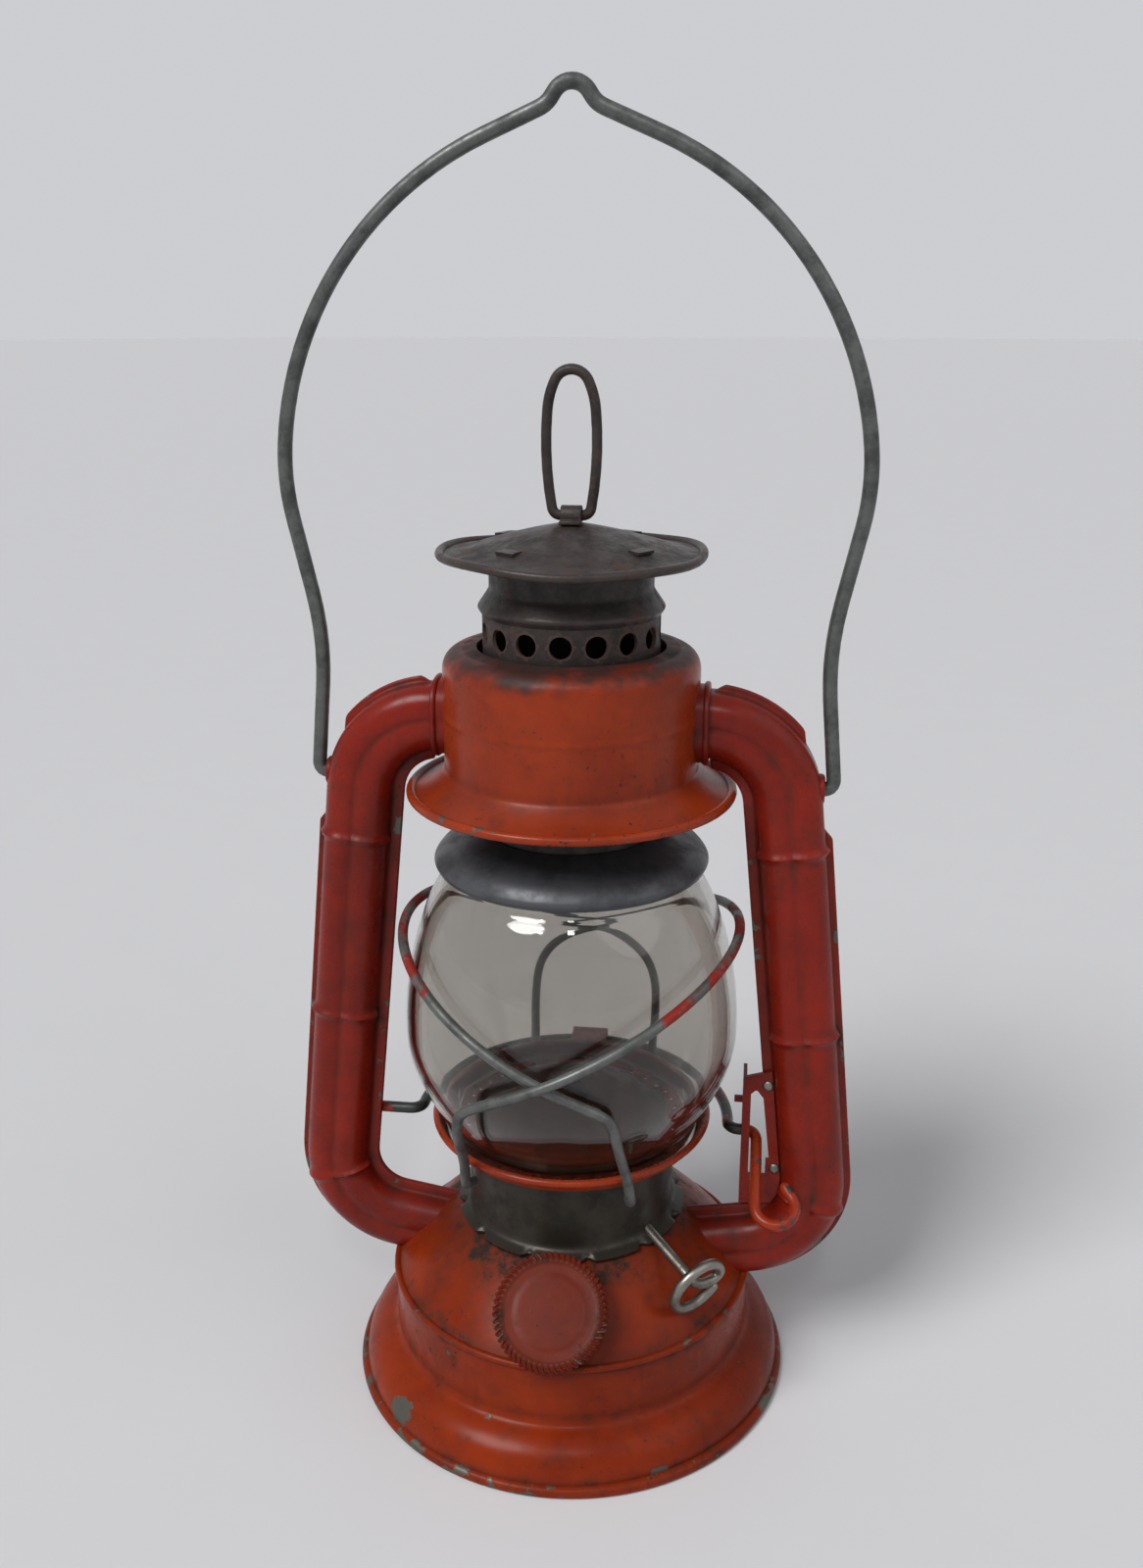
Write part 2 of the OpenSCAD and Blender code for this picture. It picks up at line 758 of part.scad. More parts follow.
module wick_tube() {
    low = tank_top_z - 4;
    slot_w = 2 * spur_spread + 4;
    cheek = 1;
    color("burlywood")
        difference() {
            at_wick()
                difference() {
                    union() {
                        translate([-tube_out_w / 2, -tube_out_t / 2, low])
                            cube([tube_out_w, tube_out_t, wick_tube_top - low]);
                        translate([-tube_out_w / 2, 0, shaft_z - 2])
                            cube([cheek, shaft_off + shaft_d, 7]);
                    }
                    translate([-tube_in_w / 2, -tube_in_t / 2, low - 1])
                        cube([tube_in_w, tube_in_t, wick_tube_top - low + 2]);
                    translate([-slot_w / 2, 0, shaft_z - spur_r - 1])
                        cube([slot_w, tube_out_t, 2 * spur_r + 2]);
                }
            along_shaft(shaft_d + 2 * run_gap, -2 * shaft_in, 0);
        }
}

// Frame above the fount

module hood() {
    color("orangered")
        difference() {
            union() {
                turned_sheet(hood_path);
                turned_bead([hood_flange_d / 2 - hood_rim_d / 2, hood_z + hood_rim_d / 2], hood_rim_d);
            }
            translate([-hood_r - 1, 0, tube_z])
                rotate([90, 0, 90])
                    linear_extrude(2 * hood_r + 2)
                        full_lobes(lobe_in_r);
        }
}

module tube_ferrules() {
    color("orangered")
        for (s = [0, 1])
            mirror([s, 0, 0])
                difference() {
                    translate([hood_r - hood_in, 0, tube_z])
                        rotate([90, 0, 90])
                            rotate([0, 0, 90])
                                linear_extrude(hood_in + ferrule_len)
                                    difference() {
                                        full_lobes(lobe_r + ferrule_wall);
                                        full_lobes(lobe_r + ferrule_gap);
                                    }
                    tube_stops();
                }
}

module left_tube_front() {
    color("firebrick")
        mirror([1, 0, 0])
            tube_half(1);
}

module left_tube_back() {
    color("firebrick")
        difference() {
            mirror([1, 0, 0])
                tube_half(-1);
            crank_bore(-leg_x(crank_z), -fold_x);
        }
}

module right_tube_front() {
    color("firebrick")
        difference() {
            tube_half(1);
            at_rivets(rivet_r + run_gap);
        }
}

module right_tube_back() {
    color("firebrick")
        difference() {
            tube_half(-1);
            at_rivets(rivet_r + run_gap);
        }
}

module bail_ears() {
    color("firebrick")
        for (s = [0, 1])
            mirror([s, 0, 0])
                difference() {
                    ear_seat(0);
                    translate([0, 0, pivot_z])
                        rotate([0, 90, 0])
                            cylinder(d = bail_d + 2 * run_gap, h = 2 * ear_out, $fn = 32);
                }
}

module lift_bracket() {
    reach = bracket_reach / cos(leg_lean);
    edge = (tube_half_w + flange_in) / cos(leg_lean);
    bend_r = low_elbow_r - bracket_reach;
    outline = concat(
        [[fold_x, bracket_low], [fold_x, bracket_top - 2], [leg_x(bracket_top) - reach, bracket_top]],
        [for (a = [leg_lean : -14 : -40]) [low_centre_x + bend_r * cos(a), low_elbow_z + bend_r * sin(a)]]
    );
    window = [
        [fold_x + window_margin, lever_slot_low], [fold_x + window_margin, window_top - 1],
        [fold_x + window_margin + 1, window_top], [leg_x(window_top) - edge - 1.5, window_top],
        [leg_x(window_top) - edge, window_top - 2], [leg_x(window_low) - edge, window_low],
        [fold_x + window_margin + 4.2, window_low], [fold_x + window_margin + 4.2, lever_slot_low]
    ];
    color("firebrick")
        difference() {
            union() {
                translate([0, bracket_y + bracket_t, 0])
                    rotate([90, 0, 0])
                        linear_extrude(bracket_t)
                            difference() {
                                polygon(outline);
                                polygon(window);
                            }
                translate([fold_x, bracket_y, bracket_low])
                    cube([bracket_t, fold_depth, bracket_top - 2 - bracket_low]);
                translate([fold_x - 2, bracket_y + fold_depth - bracket_t, crank_z + 6.5])
                    cube([2.4, bracket_t, 1.6]);
            }
            crank_bore(fold_x - 1, fold_x + 2);
            at_rivets(rivet_r + run_gap);
        }
}

module bracket_rivets() {
    color("silver")
        for (z = [rivet_high_z, rivet_low_z])
            translate([leg_x(z) - rivet_off, bracket_y - rivet_head, z])
                rotate([-90, 0, 0])
                    union() {
                        cylinder(r = rivet_head_r, h = rivet_head);
                        cylinder(r = rivet_r, h = rivet_head - bracket_y + sheet);
                    }
}

spring_low = globe_top + 5 + rest_gap + spring_d / 2;
spring_high = hood_top - sheet - rest_gap - spring_d / 2 - 0.4;
spring_r = (hood_hole_r + hood_r - 3) / 2;
spring_path = [
    for (i = [0 : spring_turns * spring_steps])
        let (a = 360 * i / spring_steps, t = i / (spring_turns * spring_steps))
        [spring_r * cos(a), spring_r * sin(a), spring_low + (spring_high - spring_low) * t]
];
// Least gap between one turn of the spring and the next
function least_gap(path, d, apart) =
    min([for (i = [0 : len(path) - 1], j = [i + apart : 1 : len(path) - 1]) norm(path[j] - path[i])]) - d;
echo(chimney_spring_gap = least_gap(spring_path, spring_d, spring_steps / 2));
module chimney_spring() {
    color("silver")
        swept_wire(spring_path, spring_d, [0, 0, 1], spring_sides);
}

// Bail

bail_start = [ear_out + run_gap + hook_r, pivot_z + hook_r, 90 + bail_lean];
bail_shoulder = [[bail_leg], bail_waist, [bail_run], bail_swell, [bail_arch_r, bail_arch]];
bail_shoulder_end = run_end(bail_shoulder, bail_start);
bail_rise = bail_shoulder_end[2] + bail_kink[1];
bail_kink_x = run_end([bail_kink, [bail_peak_r, 180 - bail_rise]], [0, 0, bail_shoulder_end[2]])[0];
bail_flat = (bail_shoulder_end[0] + bail_kink_x) / -cos(bail_shoulder_end[2]);

module bail() {
    moves = concat(
        [[bail_in + ear_len + run_gap], [hook_r, 90 + bail_lean]],
        bail_shoulder,
        [[bail_flat], bail_kink, [bail_peak_r, 180 - bail_rise]]
    );
    half = run_places(moves, [ear_out - ear_len - bail_in, pivot_z, 0]);
    last = len(half) - 1;
    path = concat(
        [for (p = half) [p[0] - half[last][0], 0, p[1]]],
        [for (i = [last - 1 : -1 : 0]) [half[last][0] - half[i][0], 0, half[i][1]]]
    );
    color("gray")
        swept_wire(path, bail_d, [0, 1, 0]);
}

// Globe lift

module lift_crank() {
    pin_x = leg_x(crank_z) - tube_half_w / cos(leg_lean) + crank_end_in;
    bend_x = crank_sweep_r + crank_bend_r;
    sweep = run_places([
        [pin_x - bend_x], [crank_bend_r, 90], [crank_sweep_r, -180], [crank_bend_r, 90]
    ], [-pin_x, crank_y, 0]);
    lever = run_places([
        [lever_bend_r, -90], [lever_arm], [lever_loop_r, lever_curl], [lever_tail]
    ], [lever_x, 0, 0]);
    path = concat(
        [for (p = sweep) [p[0], p[1], crank_z]],
        [for (p = lever) [p[0], crank_y + p[1] * cos(lever_slope), crank_z + p[1] * sin(lever_slope)]]
    );
    color("orangered")
        swept_wire(path, crank_d, [0, 0, 1]);
}

module globe_plate() {
    tab_z = plate_z;
    tab_end = crank_back + crank_d / 2 + ear_tab_gap;
    color("orangered")
        difference() {
            union() {
                turned_sheet(plate_path);
                turned_bead([plate_r - plate_bead_d / 2, plate_z + plate_lip], plate_bead_d);
                translate([-ear_tab_w / 2, plate_r - 6, tab_z])
                    cube([ear_tab_w, tab_end + sheet - plate_r + 6, sheet]);
                translate([-ear_tab_w / 2, tab_end, tab_z - crank_d - 2])
                    cube([ear_tab_w, sheet, crank_d + 2 + sheet]);
            }
            for (i = [0 : plate_vents - 1])
                rotate([0, 0, i * 360 / plate_vents])
                    translate([plate_vent_r, 0, plate_z - 1])
                        cylinder(d = plate_vent_d, h = 3, $fn = 16);
        }
}

module burner_cone() {
    color("saddlebrown")
        difference() {
            turned_sheet(cone_path);
            at_wick()
                translate([-cone_slot_w / 2, -cone_slot_t / 2, globe_z])
                    cube([cone_slot_w, cone_slot_t, 2 * cone_rise]);
        }
}

module globe() {
    color("lightgray", 0.4)
        turned_sheet(globe_path, glass_t);
}

// Guard wire whose hoop is low on the left and high on the right
function at_turn(r, a, z) = [r * sin(a), -r * cos(a), z];
function hoop_point(r, a) = [
    guard_side_r * sin(a), -r * cos(a), plate_z + guard_mid_h + guard_rise * cos(a - guard_peak)
];
// Cuts the corners of a path twice, which rounds its bends
function cut_corners(p) = concat(
    [p[0]],
    [for (i = [0 : len(p) - 2]) each [0.75 * p[i] + 0.25 * p[i + 1], 0.25 * p[i] + 0.75 * p[i + 1]]],
    [p[len(p) - 1]]
);
function guard_route(r) = concat(
    [at_turn(guard_foot_r - 3.5, -35, plate_z - 3.4), at_turn(guard_foot_r - 1, -34, plate_z - 3.2)],
    [at_turn(guard_foot_r, -33, plate_z - 0.8), at_turn(guard_foot_r + 1, -31, plate_z + 5)],
    [at_turn(r - 0.8, -25, plate_z + 17), at_turn(r, -23.5, plate_z + 23)],
    [for (i = [0 : guard_steps]) hoop_point(r, guard_first + (guard_last - guard_first) * i / guard_steps)],
    [at_turn(r, guard_last + 6, plate_z + 23), at_turn(r - 2, guard_last + 8, plate_z + 12)],
    [at_turn(guard_foot_r + 0.6, guard_last + 10, plate_z + 4)],
    [at_turn(guard_foot_r, guard_last + 11, plate_z - 1)]
);
module guard_wire(r) {
    color("slategray")
        swept_wire(cut_corners(cut_corners(guard_route(r))), guard_d, [0, 1, 0], guard_sides);
}

module guard_wire_left() {
    rotate([0, 0, guard_turn])
        guard_wire(guard_front_r + guard_d + rest_gap / 2);
}

// The right wire crosses the left one inside it
module guard_wire_right() {
    rotate([0, 0, guard_turn])
        mirror([1, 0, 0])
            guard_wire(guard_front_r);
}

// Chimney

module canopy() {
    color("dimgray")
        difference() {
            union() {
                turned_sheet(canopy_path);
                turned_bead([canopy_r - canopy_rim_d / 2, canopy_z + canopy_rim_d / 2], canopy_rim_d);
            }
            at_tabs()
                translate([chimney_neck_r - tab_sink - run_gap, -tab_w / 2 - run_gap, 0])
                    cube([sheet + 0.4, tab_w + 2 * run_gap, 3 * canopy_rise]);
        }
}

// The four tabs that hold the canopy, at the height of the canopy rim
module at_tabs() {
    for (i = [0 : 3])
        rotate([0, 0, i * 90 + 45 + tab_turn])
            translate([0, 0, canopy_z])
                children();
}

module chimney_tube() {
    tab_top = canopy_height(chimney_neck_r) - canopy_z + sheet;
    color("dimgray")
        union() {
            difference() {
                turned_sheet(chimney_path);
                for (i = [0 : vent_count - 1])
                    rotate([90, 0, i * 360 / vent_count])
                        translate([0, vent_z, chimney_r - 4 * sheet])
                            cylinder(d = vent_d, h = 8 * sheet);
            }
            at_tabs()
                translate([chimney_neck_r - tab_sink, -tab_w / 2, 0]) {
                    cube([sheet, tab_w, tab_top]);
                    translate([0, 0, tab_top - sheet / 2])
                        rotate([0, canopy_slope, 0])
                            cube([tab_len, tab_w, sheet]);
                }
        }
}

module globe_retainer() {
    color("darkslategray")
        turned_sheet(retainer_path);
}

module ring_bridge() {
    hole_d = ring_d + 2 * run_gap;
    color("dimgray")
        difference() {
            union() {
                translate([-bridge_w / 2, 0, ring_z])
                    rotate([0, 90, 0])
                        cylinder(d = hole_d + 2 * bridge_wall, h = bridge_w, $fn = 32);
                translate([-bridge_w / 2, -bridge_foot / 2, canopy_top + run_gap])
                    cube([bridge_w, bridge_foot, sheet]);
            }
            translate([-bridge_w, 0, ring_z])
                rotate([0, 90, 0])
                    cylinder(d = hole_d, h = 2 * bridge_w, $fn = 32);
            translate([-bridge_w, -bridge_foot, canopy_top + run_gap - 2 * bridge_wall])
                cube([2 * bridge_w, 2 * bridge_foot, 2 * bridge_wall]);
        }
}

module lift_ring() {
    side = [[ring_bar], [ring_corner_r, ring_corner], ring_side, ring_shoulder];
    end = run_end(side, [0, ring_z, 0]);
    half = run_places(concat(side, [[end[0] / sin(end[2]), 180 - end[2]]]), [0, ring_z, 0]);
    last = len(half) - 1;
    path = concat(
        [for (p = half) [p[0], 0, p[1]]],
        [for (i = [last - 1 : -1 : 1]) [-half[i][0], 0, half[i][1]]]
    );
    color("black")
        swept_wire(path, ring_d, [0, 1, 0], closed = true);
}

// Wick

module wick_shaft() {
    color("silver")
        union() {
            along_shaft(shaft_d, -shaft_in, shaft_len);
            at_shaft()
                translate([shaft_len, 0, 0])
                    union() {
                        sphere(d = shaft_d, $fn = 32);
                        rotate([-90, 0, 0])
                            cylinder(d = shaft_d, h = shaft_ring_r, $fn = 32);
                        rotate([0, 90, 0])
                            rotate_extrude()
                                translate([shaft_ring_r, 0])
                                    circle(d = shaft_ring_d, $fn = 32);
                    }
        }
}

module spur_wheels() {
    star = [
        for (i = [0 : 2 * spur_teeth - 1])
            let (r = spur_r - (i % 2) * spur_tooth_h)
            [r * cos(180 * i / spur_teeth), r * sin(180 * i / spur_teeth)]
    ];
    color("goldenrod")
        for (s = [-1, 1])
            at_shaft()
                translate([s * spur_spread - spur_t / 2, 0, 0])
                    rotate([90, 0, 90])
                        linear_extrude(spur_t)
                            difference() {
                                polygon(star);
                                circle(d = shaft_d + 2 * run_gap, $fn = 32);
                            }
}

module wick() {
    color("ivory")
        at_wick()
            translate([-wick_w / 2, -wick_t / 2, wick_low])
                cube([wick_w, wick_t, wick_top - wick_low]);
}

// Filler cap

module cap_gasket() {
    color("black")
        at_filler()
            translate([0, 0, neck_h + run_gap])
                difference() {
                    cylinder(d = neck_d + 1, h = gasket_t);
                    translate([0, 0, -1])
                        cylinder(d = neck_d - 2 * neck_wall, h = gasket_t + 2);
                }
}

module filler_cap() {
    inner_h = neck_h + gasket_t + 2 * run_gap - cap_lift;
    skirt_d = cap_d - 2 * knurl_depth;
    knurl = [
        for (i = [0 : 2 * cap_knurls - 1])
            let (r = cap_d / 2 - (i % 2) * knurl_depth)
            [r * cos(180 * i / cap_knurls), r * sin(180 * i / cap_knurls)]
    ];
    color("indianred")
        at_filler()
            translate([0, 0, cap_lift])
                difference() {
                    union() {
                        cylinder(d = skirt_d - cap_wall, h = cap_h);
                        translate([0, 0, cap_h - knurl_h])
                            linear_extrude(knurl_h)
                                polygon(knurl);
                    }
                    translate([0, 0, -1])
                        cylinder(d = neck_d + 1 + 2 * run_gap, h = inner_h + 1);
                    translate([0, 0, cap_h - face_recess])
                        difference() {
                            cylinder(d = skirt_d - 2 * cap_wall, h = 1);
                            translate([0, 0, -1])
                                cylinder(d = cap_d * 0.42, h = 1 + face_recess / 2);
                        }
                }
}

fount_bowl();
fount_bottom();
tank_top();
air_dome();
filler_neck();
burner_collar();
burner_body();
wick_tube();
hood();
tube_ferrules();
left_tube_front();
left_tube_back();
right_tube_front();
right_tube_back();
bail_ears();
lift_bracket();
bracket_rivets();
chimney_spring();
bail();
lift_crank();
globe_plate();
burner_cone();
globe();
guard_wire_left();
guard_wire_right();
canopy();
chimney_tube();
globe_retainer();
ring_bridge();
lift_ring();
wick_shaft();
spur_wheels();
wick();
cap_gasket();
filler_cap();
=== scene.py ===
"""Kerosene lantern: smooth, worn sheet-metal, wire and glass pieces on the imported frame."""

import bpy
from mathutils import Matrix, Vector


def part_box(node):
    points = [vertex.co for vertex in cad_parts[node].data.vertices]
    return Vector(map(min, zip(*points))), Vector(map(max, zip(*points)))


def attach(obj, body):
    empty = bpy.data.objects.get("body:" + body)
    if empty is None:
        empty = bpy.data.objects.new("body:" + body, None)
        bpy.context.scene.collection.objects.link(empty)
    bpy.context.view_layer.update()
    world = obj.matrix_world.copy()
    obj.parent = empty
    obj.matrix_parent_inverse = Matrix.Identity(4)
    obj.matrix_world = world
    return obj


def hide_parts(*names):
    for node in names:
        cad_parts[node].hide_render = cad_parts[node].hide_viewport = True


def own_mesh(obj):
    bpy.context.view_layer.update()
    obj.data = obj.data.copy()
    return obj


bl_info = {
    "name": "Kerosene lantern",
    "version": (1, 0, 0),
    "blender": (4, 5, 0),
    "location": "View3D > Sidebar > Lantern",
    "description": "Dresses the lantern's frame with worn enamel, wire and glass pieces",
    "category": "Object",
}

import math
from collections import namedtuple

import bmesh
import bpy
import numpy as np
from mathutils import Euler, Matrix, Vector

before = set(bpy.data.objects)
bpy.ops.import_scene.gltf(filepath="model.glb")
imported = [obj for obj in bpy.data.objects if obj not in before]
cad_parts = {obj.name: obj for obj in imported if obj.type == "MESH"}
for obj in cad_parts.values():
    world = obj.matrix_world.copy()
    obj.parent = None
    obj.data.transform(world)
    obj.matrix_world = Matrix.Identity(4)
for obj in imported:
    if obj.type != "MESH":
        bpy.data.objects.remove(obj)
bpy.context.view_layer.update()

# Sizes in millimetres, read from the frame or repeated from the CAD

MM = 0.001
# Distances in metres at which points of a piece or of a CAD mesh are one, and the length of a lost edge
WELD, MERGE, SLIVER = 2e-6, 1e-6, 1e-7


def reach(node):
    """Lowest and highest corner of a CAD node, in millimetres."""
    low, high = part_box(node)
    return np.array(low) / MM, np.array(high) / MM


SEGMENTS = 160
SHEET = 0.8
SEAM_BEAD = 1.8
RIM_BEAD = 3.0
HOOD_RIM = 2.2
BASE_R = reach("fount_bowl")[1][0]
WALL_R = reach("air_dome")[1][0] - SEAM_BEAD / 2
SEAM_Z = reach("air_dome")[0][2] + SEAM_BEAD / 2
WALL_TOP = reach("fount_bowl")[1][2]
DOME_TOP = reach("air_dome")[1][2]
DOME_Z = DOME_TOP - 0.4
FOOT_H = 13.0
DOME_LAND_R = 28.0
COLLAR_R = reach("burner_collar")[1][0] - 3
COLLAR_TOP = reach("burner_collar")[1][2]
PETALS = 12
PLATE_Z = COLLAR_TOP + 0.3
PLATE_R = reach("globe_plate")[1][0]
PLATE_HOLES = 36
(_, _, GLOBE_Z), (GLOBE_R, _, GLOBE_TOP) = reach("globe")
GLOBE_FOOT_R = PLATE_R - 3.2
GLOBE_NECK_R = 29.4
GLASS = 2.0
GLOBE_BELLY = 26.95
GLOBE_RIM = PLATE_Z + 4.2 - GLOBE_Z
GLOBE_SHOULDER = GLOBE_TOP - GLOBE_Z - 6.5
(_, _, HOOD_Z), (HOOD_FLANGE_R, _, HOOD_TOP) = reach("hood")
HOOD_R = 29.2
HOOD_HOLE_R = 21.4
CHIMNEY_R = 20.0
CHIMNEY_NECK_R = 18.4
CHIMNEY_LOW = reach("chimney_tube")[0][2]
BEAD_Z = HOOD_TOP + 9.1
VENT_Z = HOOD_TOP + 3.6
VENT_COUNT = 16
VENT_R = 2.5
(_, _, CANOPY_Z), (CANOPY_R, _, CANOPY_TOP) = reach("canopy")
CANOPY_MID = np.array([CANOPY_R * 0.73, CANOPY_Z + (CANOPY_TOP - CANOPY_Z) * 0.34])
RING_Z = CANOPY_TOP + 1.6
TUBE_Z = HOOD_Z + 17.2
ELBOW_X = HOOD_R + 1.8
ELBOW_R = GLOBE_R + 9.95 - ELBOW_X
LEG_LEAN = math.radians(6)
LOW_ELBOW_R = 19.0
LOW_ELBOW_Z = SEAM_Z + 26
LOW_FALL = math.radians(10)
# A tube's section is four lobes, set off sideways and upwards from its middle, with two seam flanges
LOBE_R, LOBE_OFF, LOBE_LIFT = 5.4, 2.4, 1.0
TUBE_BEADS = (141.5, 95.0, 49.5)
TUBE_HALF_W = LOBE_OFF + LOBE_R
FLANGE_IN, FLANGE_OUT = 2.7, 1.5
ELBOW_Z = TUBE_Z - ELBOW_R
PIVOT_Z = ELBOW_Z + 4.5
EAR_OUT = reach("bail_ears")[1][0]
EAR_LEN, EAR_R = 2.2, 3.6
CRANK_D, CRANK_Y = 2.8, 2.4
CRANK_Z = PLATE_Z - CRANK_D / 2 - 0.3
LEVER_X = 43.6
BAIL_D = 3.3
GUARD_D, GUARD_GAP = 2.4, 1.95
GUARD_TURN = math.radians(-4)
RING_D = 2.3
SHAFT_TURN, SHAFT_TILT = math.radians(44), math.radians(17)
WICK_TURN = SHAFT_TURN - math.pi / 2
# The wick shaft: its distance from the axis, its length to the ring, and how far it goes past the axis
SHAFT_OFF, SHAFT_LEN, SHAFT_IN = 4.25, 45.5, 7.0
SHAFT_RING_R, SHAFT_RING_D = 6.9, 2.6
SHAFT_Z = DOME_Z + 2.7 + math.sqrt(COLLAR_R ** 2 - SHAFT_OFF ** 2) * math.tan(SHAFT_TILT)
CAP_R, CAP_H, CAP_LIFT = 14.0, 4.9, 1.2
FILLER_TILT = math.radians(45)
CONE_Z = GLOBE_Z + SHEET
CHAR_FROM, CHAR_TO = 66.0, 71.0
CHIMNEY_TRAVEL, GLOBE_TRAVEL = 6.0, 8.04
BACK = np.array([0.0, 1.0, 0.0])
UP = np.array([0.0, 0.0, 1.0])

# Large chips on the fount: turn in degrees, height, half width in radians, half height
CHIPS = ((226.0, 6.0, 0.10, 3.4), (236.0, 23.5, 0.07, 1.6), (300.0, 3.0, 0.04, 1.2), (318.0, 18.0, 0.02, 0.9))
# Place of a dab of paint on the left guard
DAB = np.array([29.0, -32.0, 108.0])
# Nodes of the frame that stay in view, with their finishes
KEPT = {
    "fount_bottom": "tinplate", "tank_top": "tinplate", "filler_neck": "tinplate", "burner_body": "dark_tin",
    "spur_wheels": "burner_brass", "cap_gasket": "gasket_rubber",
}

# The stage, in metres: suns have a place, an angle and a power, lamps a place, two sides and a power
FLOOR_R = 12.0
SKY_LIGHT, SKY_SEEN, SKY_COLOUR = 0.24, 0.40, (0.95, 0.96, 1.0, 1.0)
SUNS = (("key", (-0.85, -1.0, 1.4), 26.0, 2.1), ("fill", (1.0, -0.5, 0.9), 50.0, 0.4))
LAMPS = (
    ("window", (0.10, -0.9, 1.05), 0.10, 0.22, 1.4), ("side window", (-0.32, -0.8, 0.85), 0.07, 0.07, 0.4),
)
LAMP_AIM = (0, 0, 0.12)

# The camera: place in millimetres, pitch and turn in degrees, lens and sensor in millimetres
CAMERA_PLACE = (38.9, -317.0, 261.3)
CAMERA_PITCH, CAMERA_TURN = 18.335, 7.0
LENS, SENSOR = 33.27, 36.0


# Curves


def unit(v):
    """Vectors brought to length 1."""
    return v / np.linalg.norm(v, axis=-1, keepdims=True)


def full_turn(count):
    """Even angles round a full turn."""
    return np.linspace(0, 2 * np.pi, count, endpoint=False)


def circle(count):
    """Points round a unit circle."""
    a = full_turn(count)
    return np.stack([np.cos(a), np.sin(a)], 1)


def squared_round(angle, half_w, half_t, power):
    """Radius of a rounded rectangle: the powers of its two sides' shares add up to 1."""
    return (np.abs(np.cos(angle) / half_w) ** power + np.abs(np.sin(angle) / half_t) ** power) ** (-1 / power)


def bow(p, q, swell, steps=24):
    """Points from p to q, without p, on a parabola that swells to the right of its chord."""
    p, q = np.array(p, float), np.array(q, float)
    t = np.linspace(0, 1, steps + 1)[1:, None]
    along = unit(q - p)
    left = np.array([-along[1], along[0]])
    return p + (q - p) * t - 4 * swell * t * (1 - t) * left


def joined(*stretches):
    """One path from single points and lists of points."""
    return np.vstack([np.atleast_2d(np.array(s, float)) for s in stretches])


def softened(path, step=0.5, spread=0.9, closed=False):
    """The path in even steps, each point moved to a weighted mean of its neighbours within the spread.
    An open path is turned over at its ends, so that they stay in place."""
    path = np.vstack([path, path[:1]]) if closed else np.asarray(path, float)
    run = run_along(path)
    count = max(int(run[-1] / step), 6)
    s = np.linspace(0, run[-1], count + 1)
    even = np.stack([np.interp(s, run, path[:, i]) for i in range(path.shape[1])], 1)
    width = min(max(int(spread / step), 1), count // 2)
    weight = np.hanning(2 * width + 3)[1:-1]
    if closed:
        even = even[:-1]
        padded = np.vstack([even[-width:], even, even[:width]])
    else:
        padded = np.vstack([
            2 * even[0] - even[width:0:-1], even, 2 * even[-1] - even[-2:-width - 2:-1],
        ])
    mean = [np.convolve(padded[:, i], weight / weight.sum(), "valid") for i in range(path.shape[1])]
    return np.stack(mean, 1)


def moved_left(path, by):
    """A flat path moved to its left, along the mean of the normals on both sides of each point."""
    along = unit(np.diff(path, axis=0))
    left = np.stack([-along[:, 1], along[:, 0]], 1)
    both = np.vstack([left[:1], left]) + np.vstack([left, left[-1:]])
    return path + by * 2 * both / (both * both).sum(1, keepdims=True)


def sheet_outline(path, thick=SHEET):
    """Closed outline of a sheet whose outer face is the path, with its thickness on the left."""
    return np.vstack([path, moved_left(path, thick)[::-1]])


def sheet(path, step=0.5, spread=0.9):
    """Closed outline of a sheet along a softened path."""
    return sheet_outline(softened(path, step, spread))


def run_along(path):
    """Length of a path up to each of its points."""
    return np.concatenate([[0], np.cumsum(np.linalg.norm(np.diff(path, axis=0), axis=1))])


def upright(flat):
    """A flat path of (x, z) as points in the lantern's own plane."""
    return np.stack([flat[:, 0], 0 * flat[:, 0], flat[:, 1]], 1)


def bend_points(start, moves, step=3.0):
    """Places on a flat run of straights (length,) and bends (radius, angle in degrees) from a start
    (x, y, heading in degrees): a bend turns about a centre to the left for a positive angle."""
    x, y, heading = start
    found = [(x, y)]
    for move in moves:
        h = math.radians(heading)
        if len(move) == 1:
            x, y = x + move[0] * math.cos(h), y + move[0] * math.sin(h)
            found.append((x, y))
            continue
        r = math.copysign(move[0], move[1])
        turn = np.radians(np.linspace(0, move[1], max(int(abs(move[1]) / step), 2) + 1)[1:])
        found.extend(zip(
            x + r * (np.sin(h + turn) - math.sin(h)), y + r * (math.cos(h) - np.cos(h + turn)),
        ))
        x, y = found[-1]
        heading += move[1]
    return np.array(found), heading


# Surfaces

Part = namedtuple("Part", "points faces wear grime")
END_SWING = np.radians([20, 40, 58, 74, 88])


def grid(x, y, z):
    """Points from three coordinates that are spread to one shape."""
    return np.stack(np.broadcast_arrays(x, y, z), -1)


def tab_rows(half):
    """Places across a tab, doubled at its ends and close to them, so that its edges stay crisp."""
    return np.array([-half, -half, -half + 0.2, half - 0.2, half, half])[:, None]


def about_axis(r, angle, z):
    """Points at a radius and an angle round the axis, at a height."""
    return grid(r * np.cos(angle), r * np.sin(angle), z)


def enclosed(points, faces):
    """Six times the volume inside faces, as the sum of the triangles' triple products."""
    total = 0.0
    for f in faces:
        for k in range(1, f.shape[1] - 1):
            corners = points[f[:, 0]], points[f[:, k]], points[f[:, k + 1]]
            total += np.einsum("ij,ij->", corners[0], np.cross(corners[1], corners[2]))
    return total


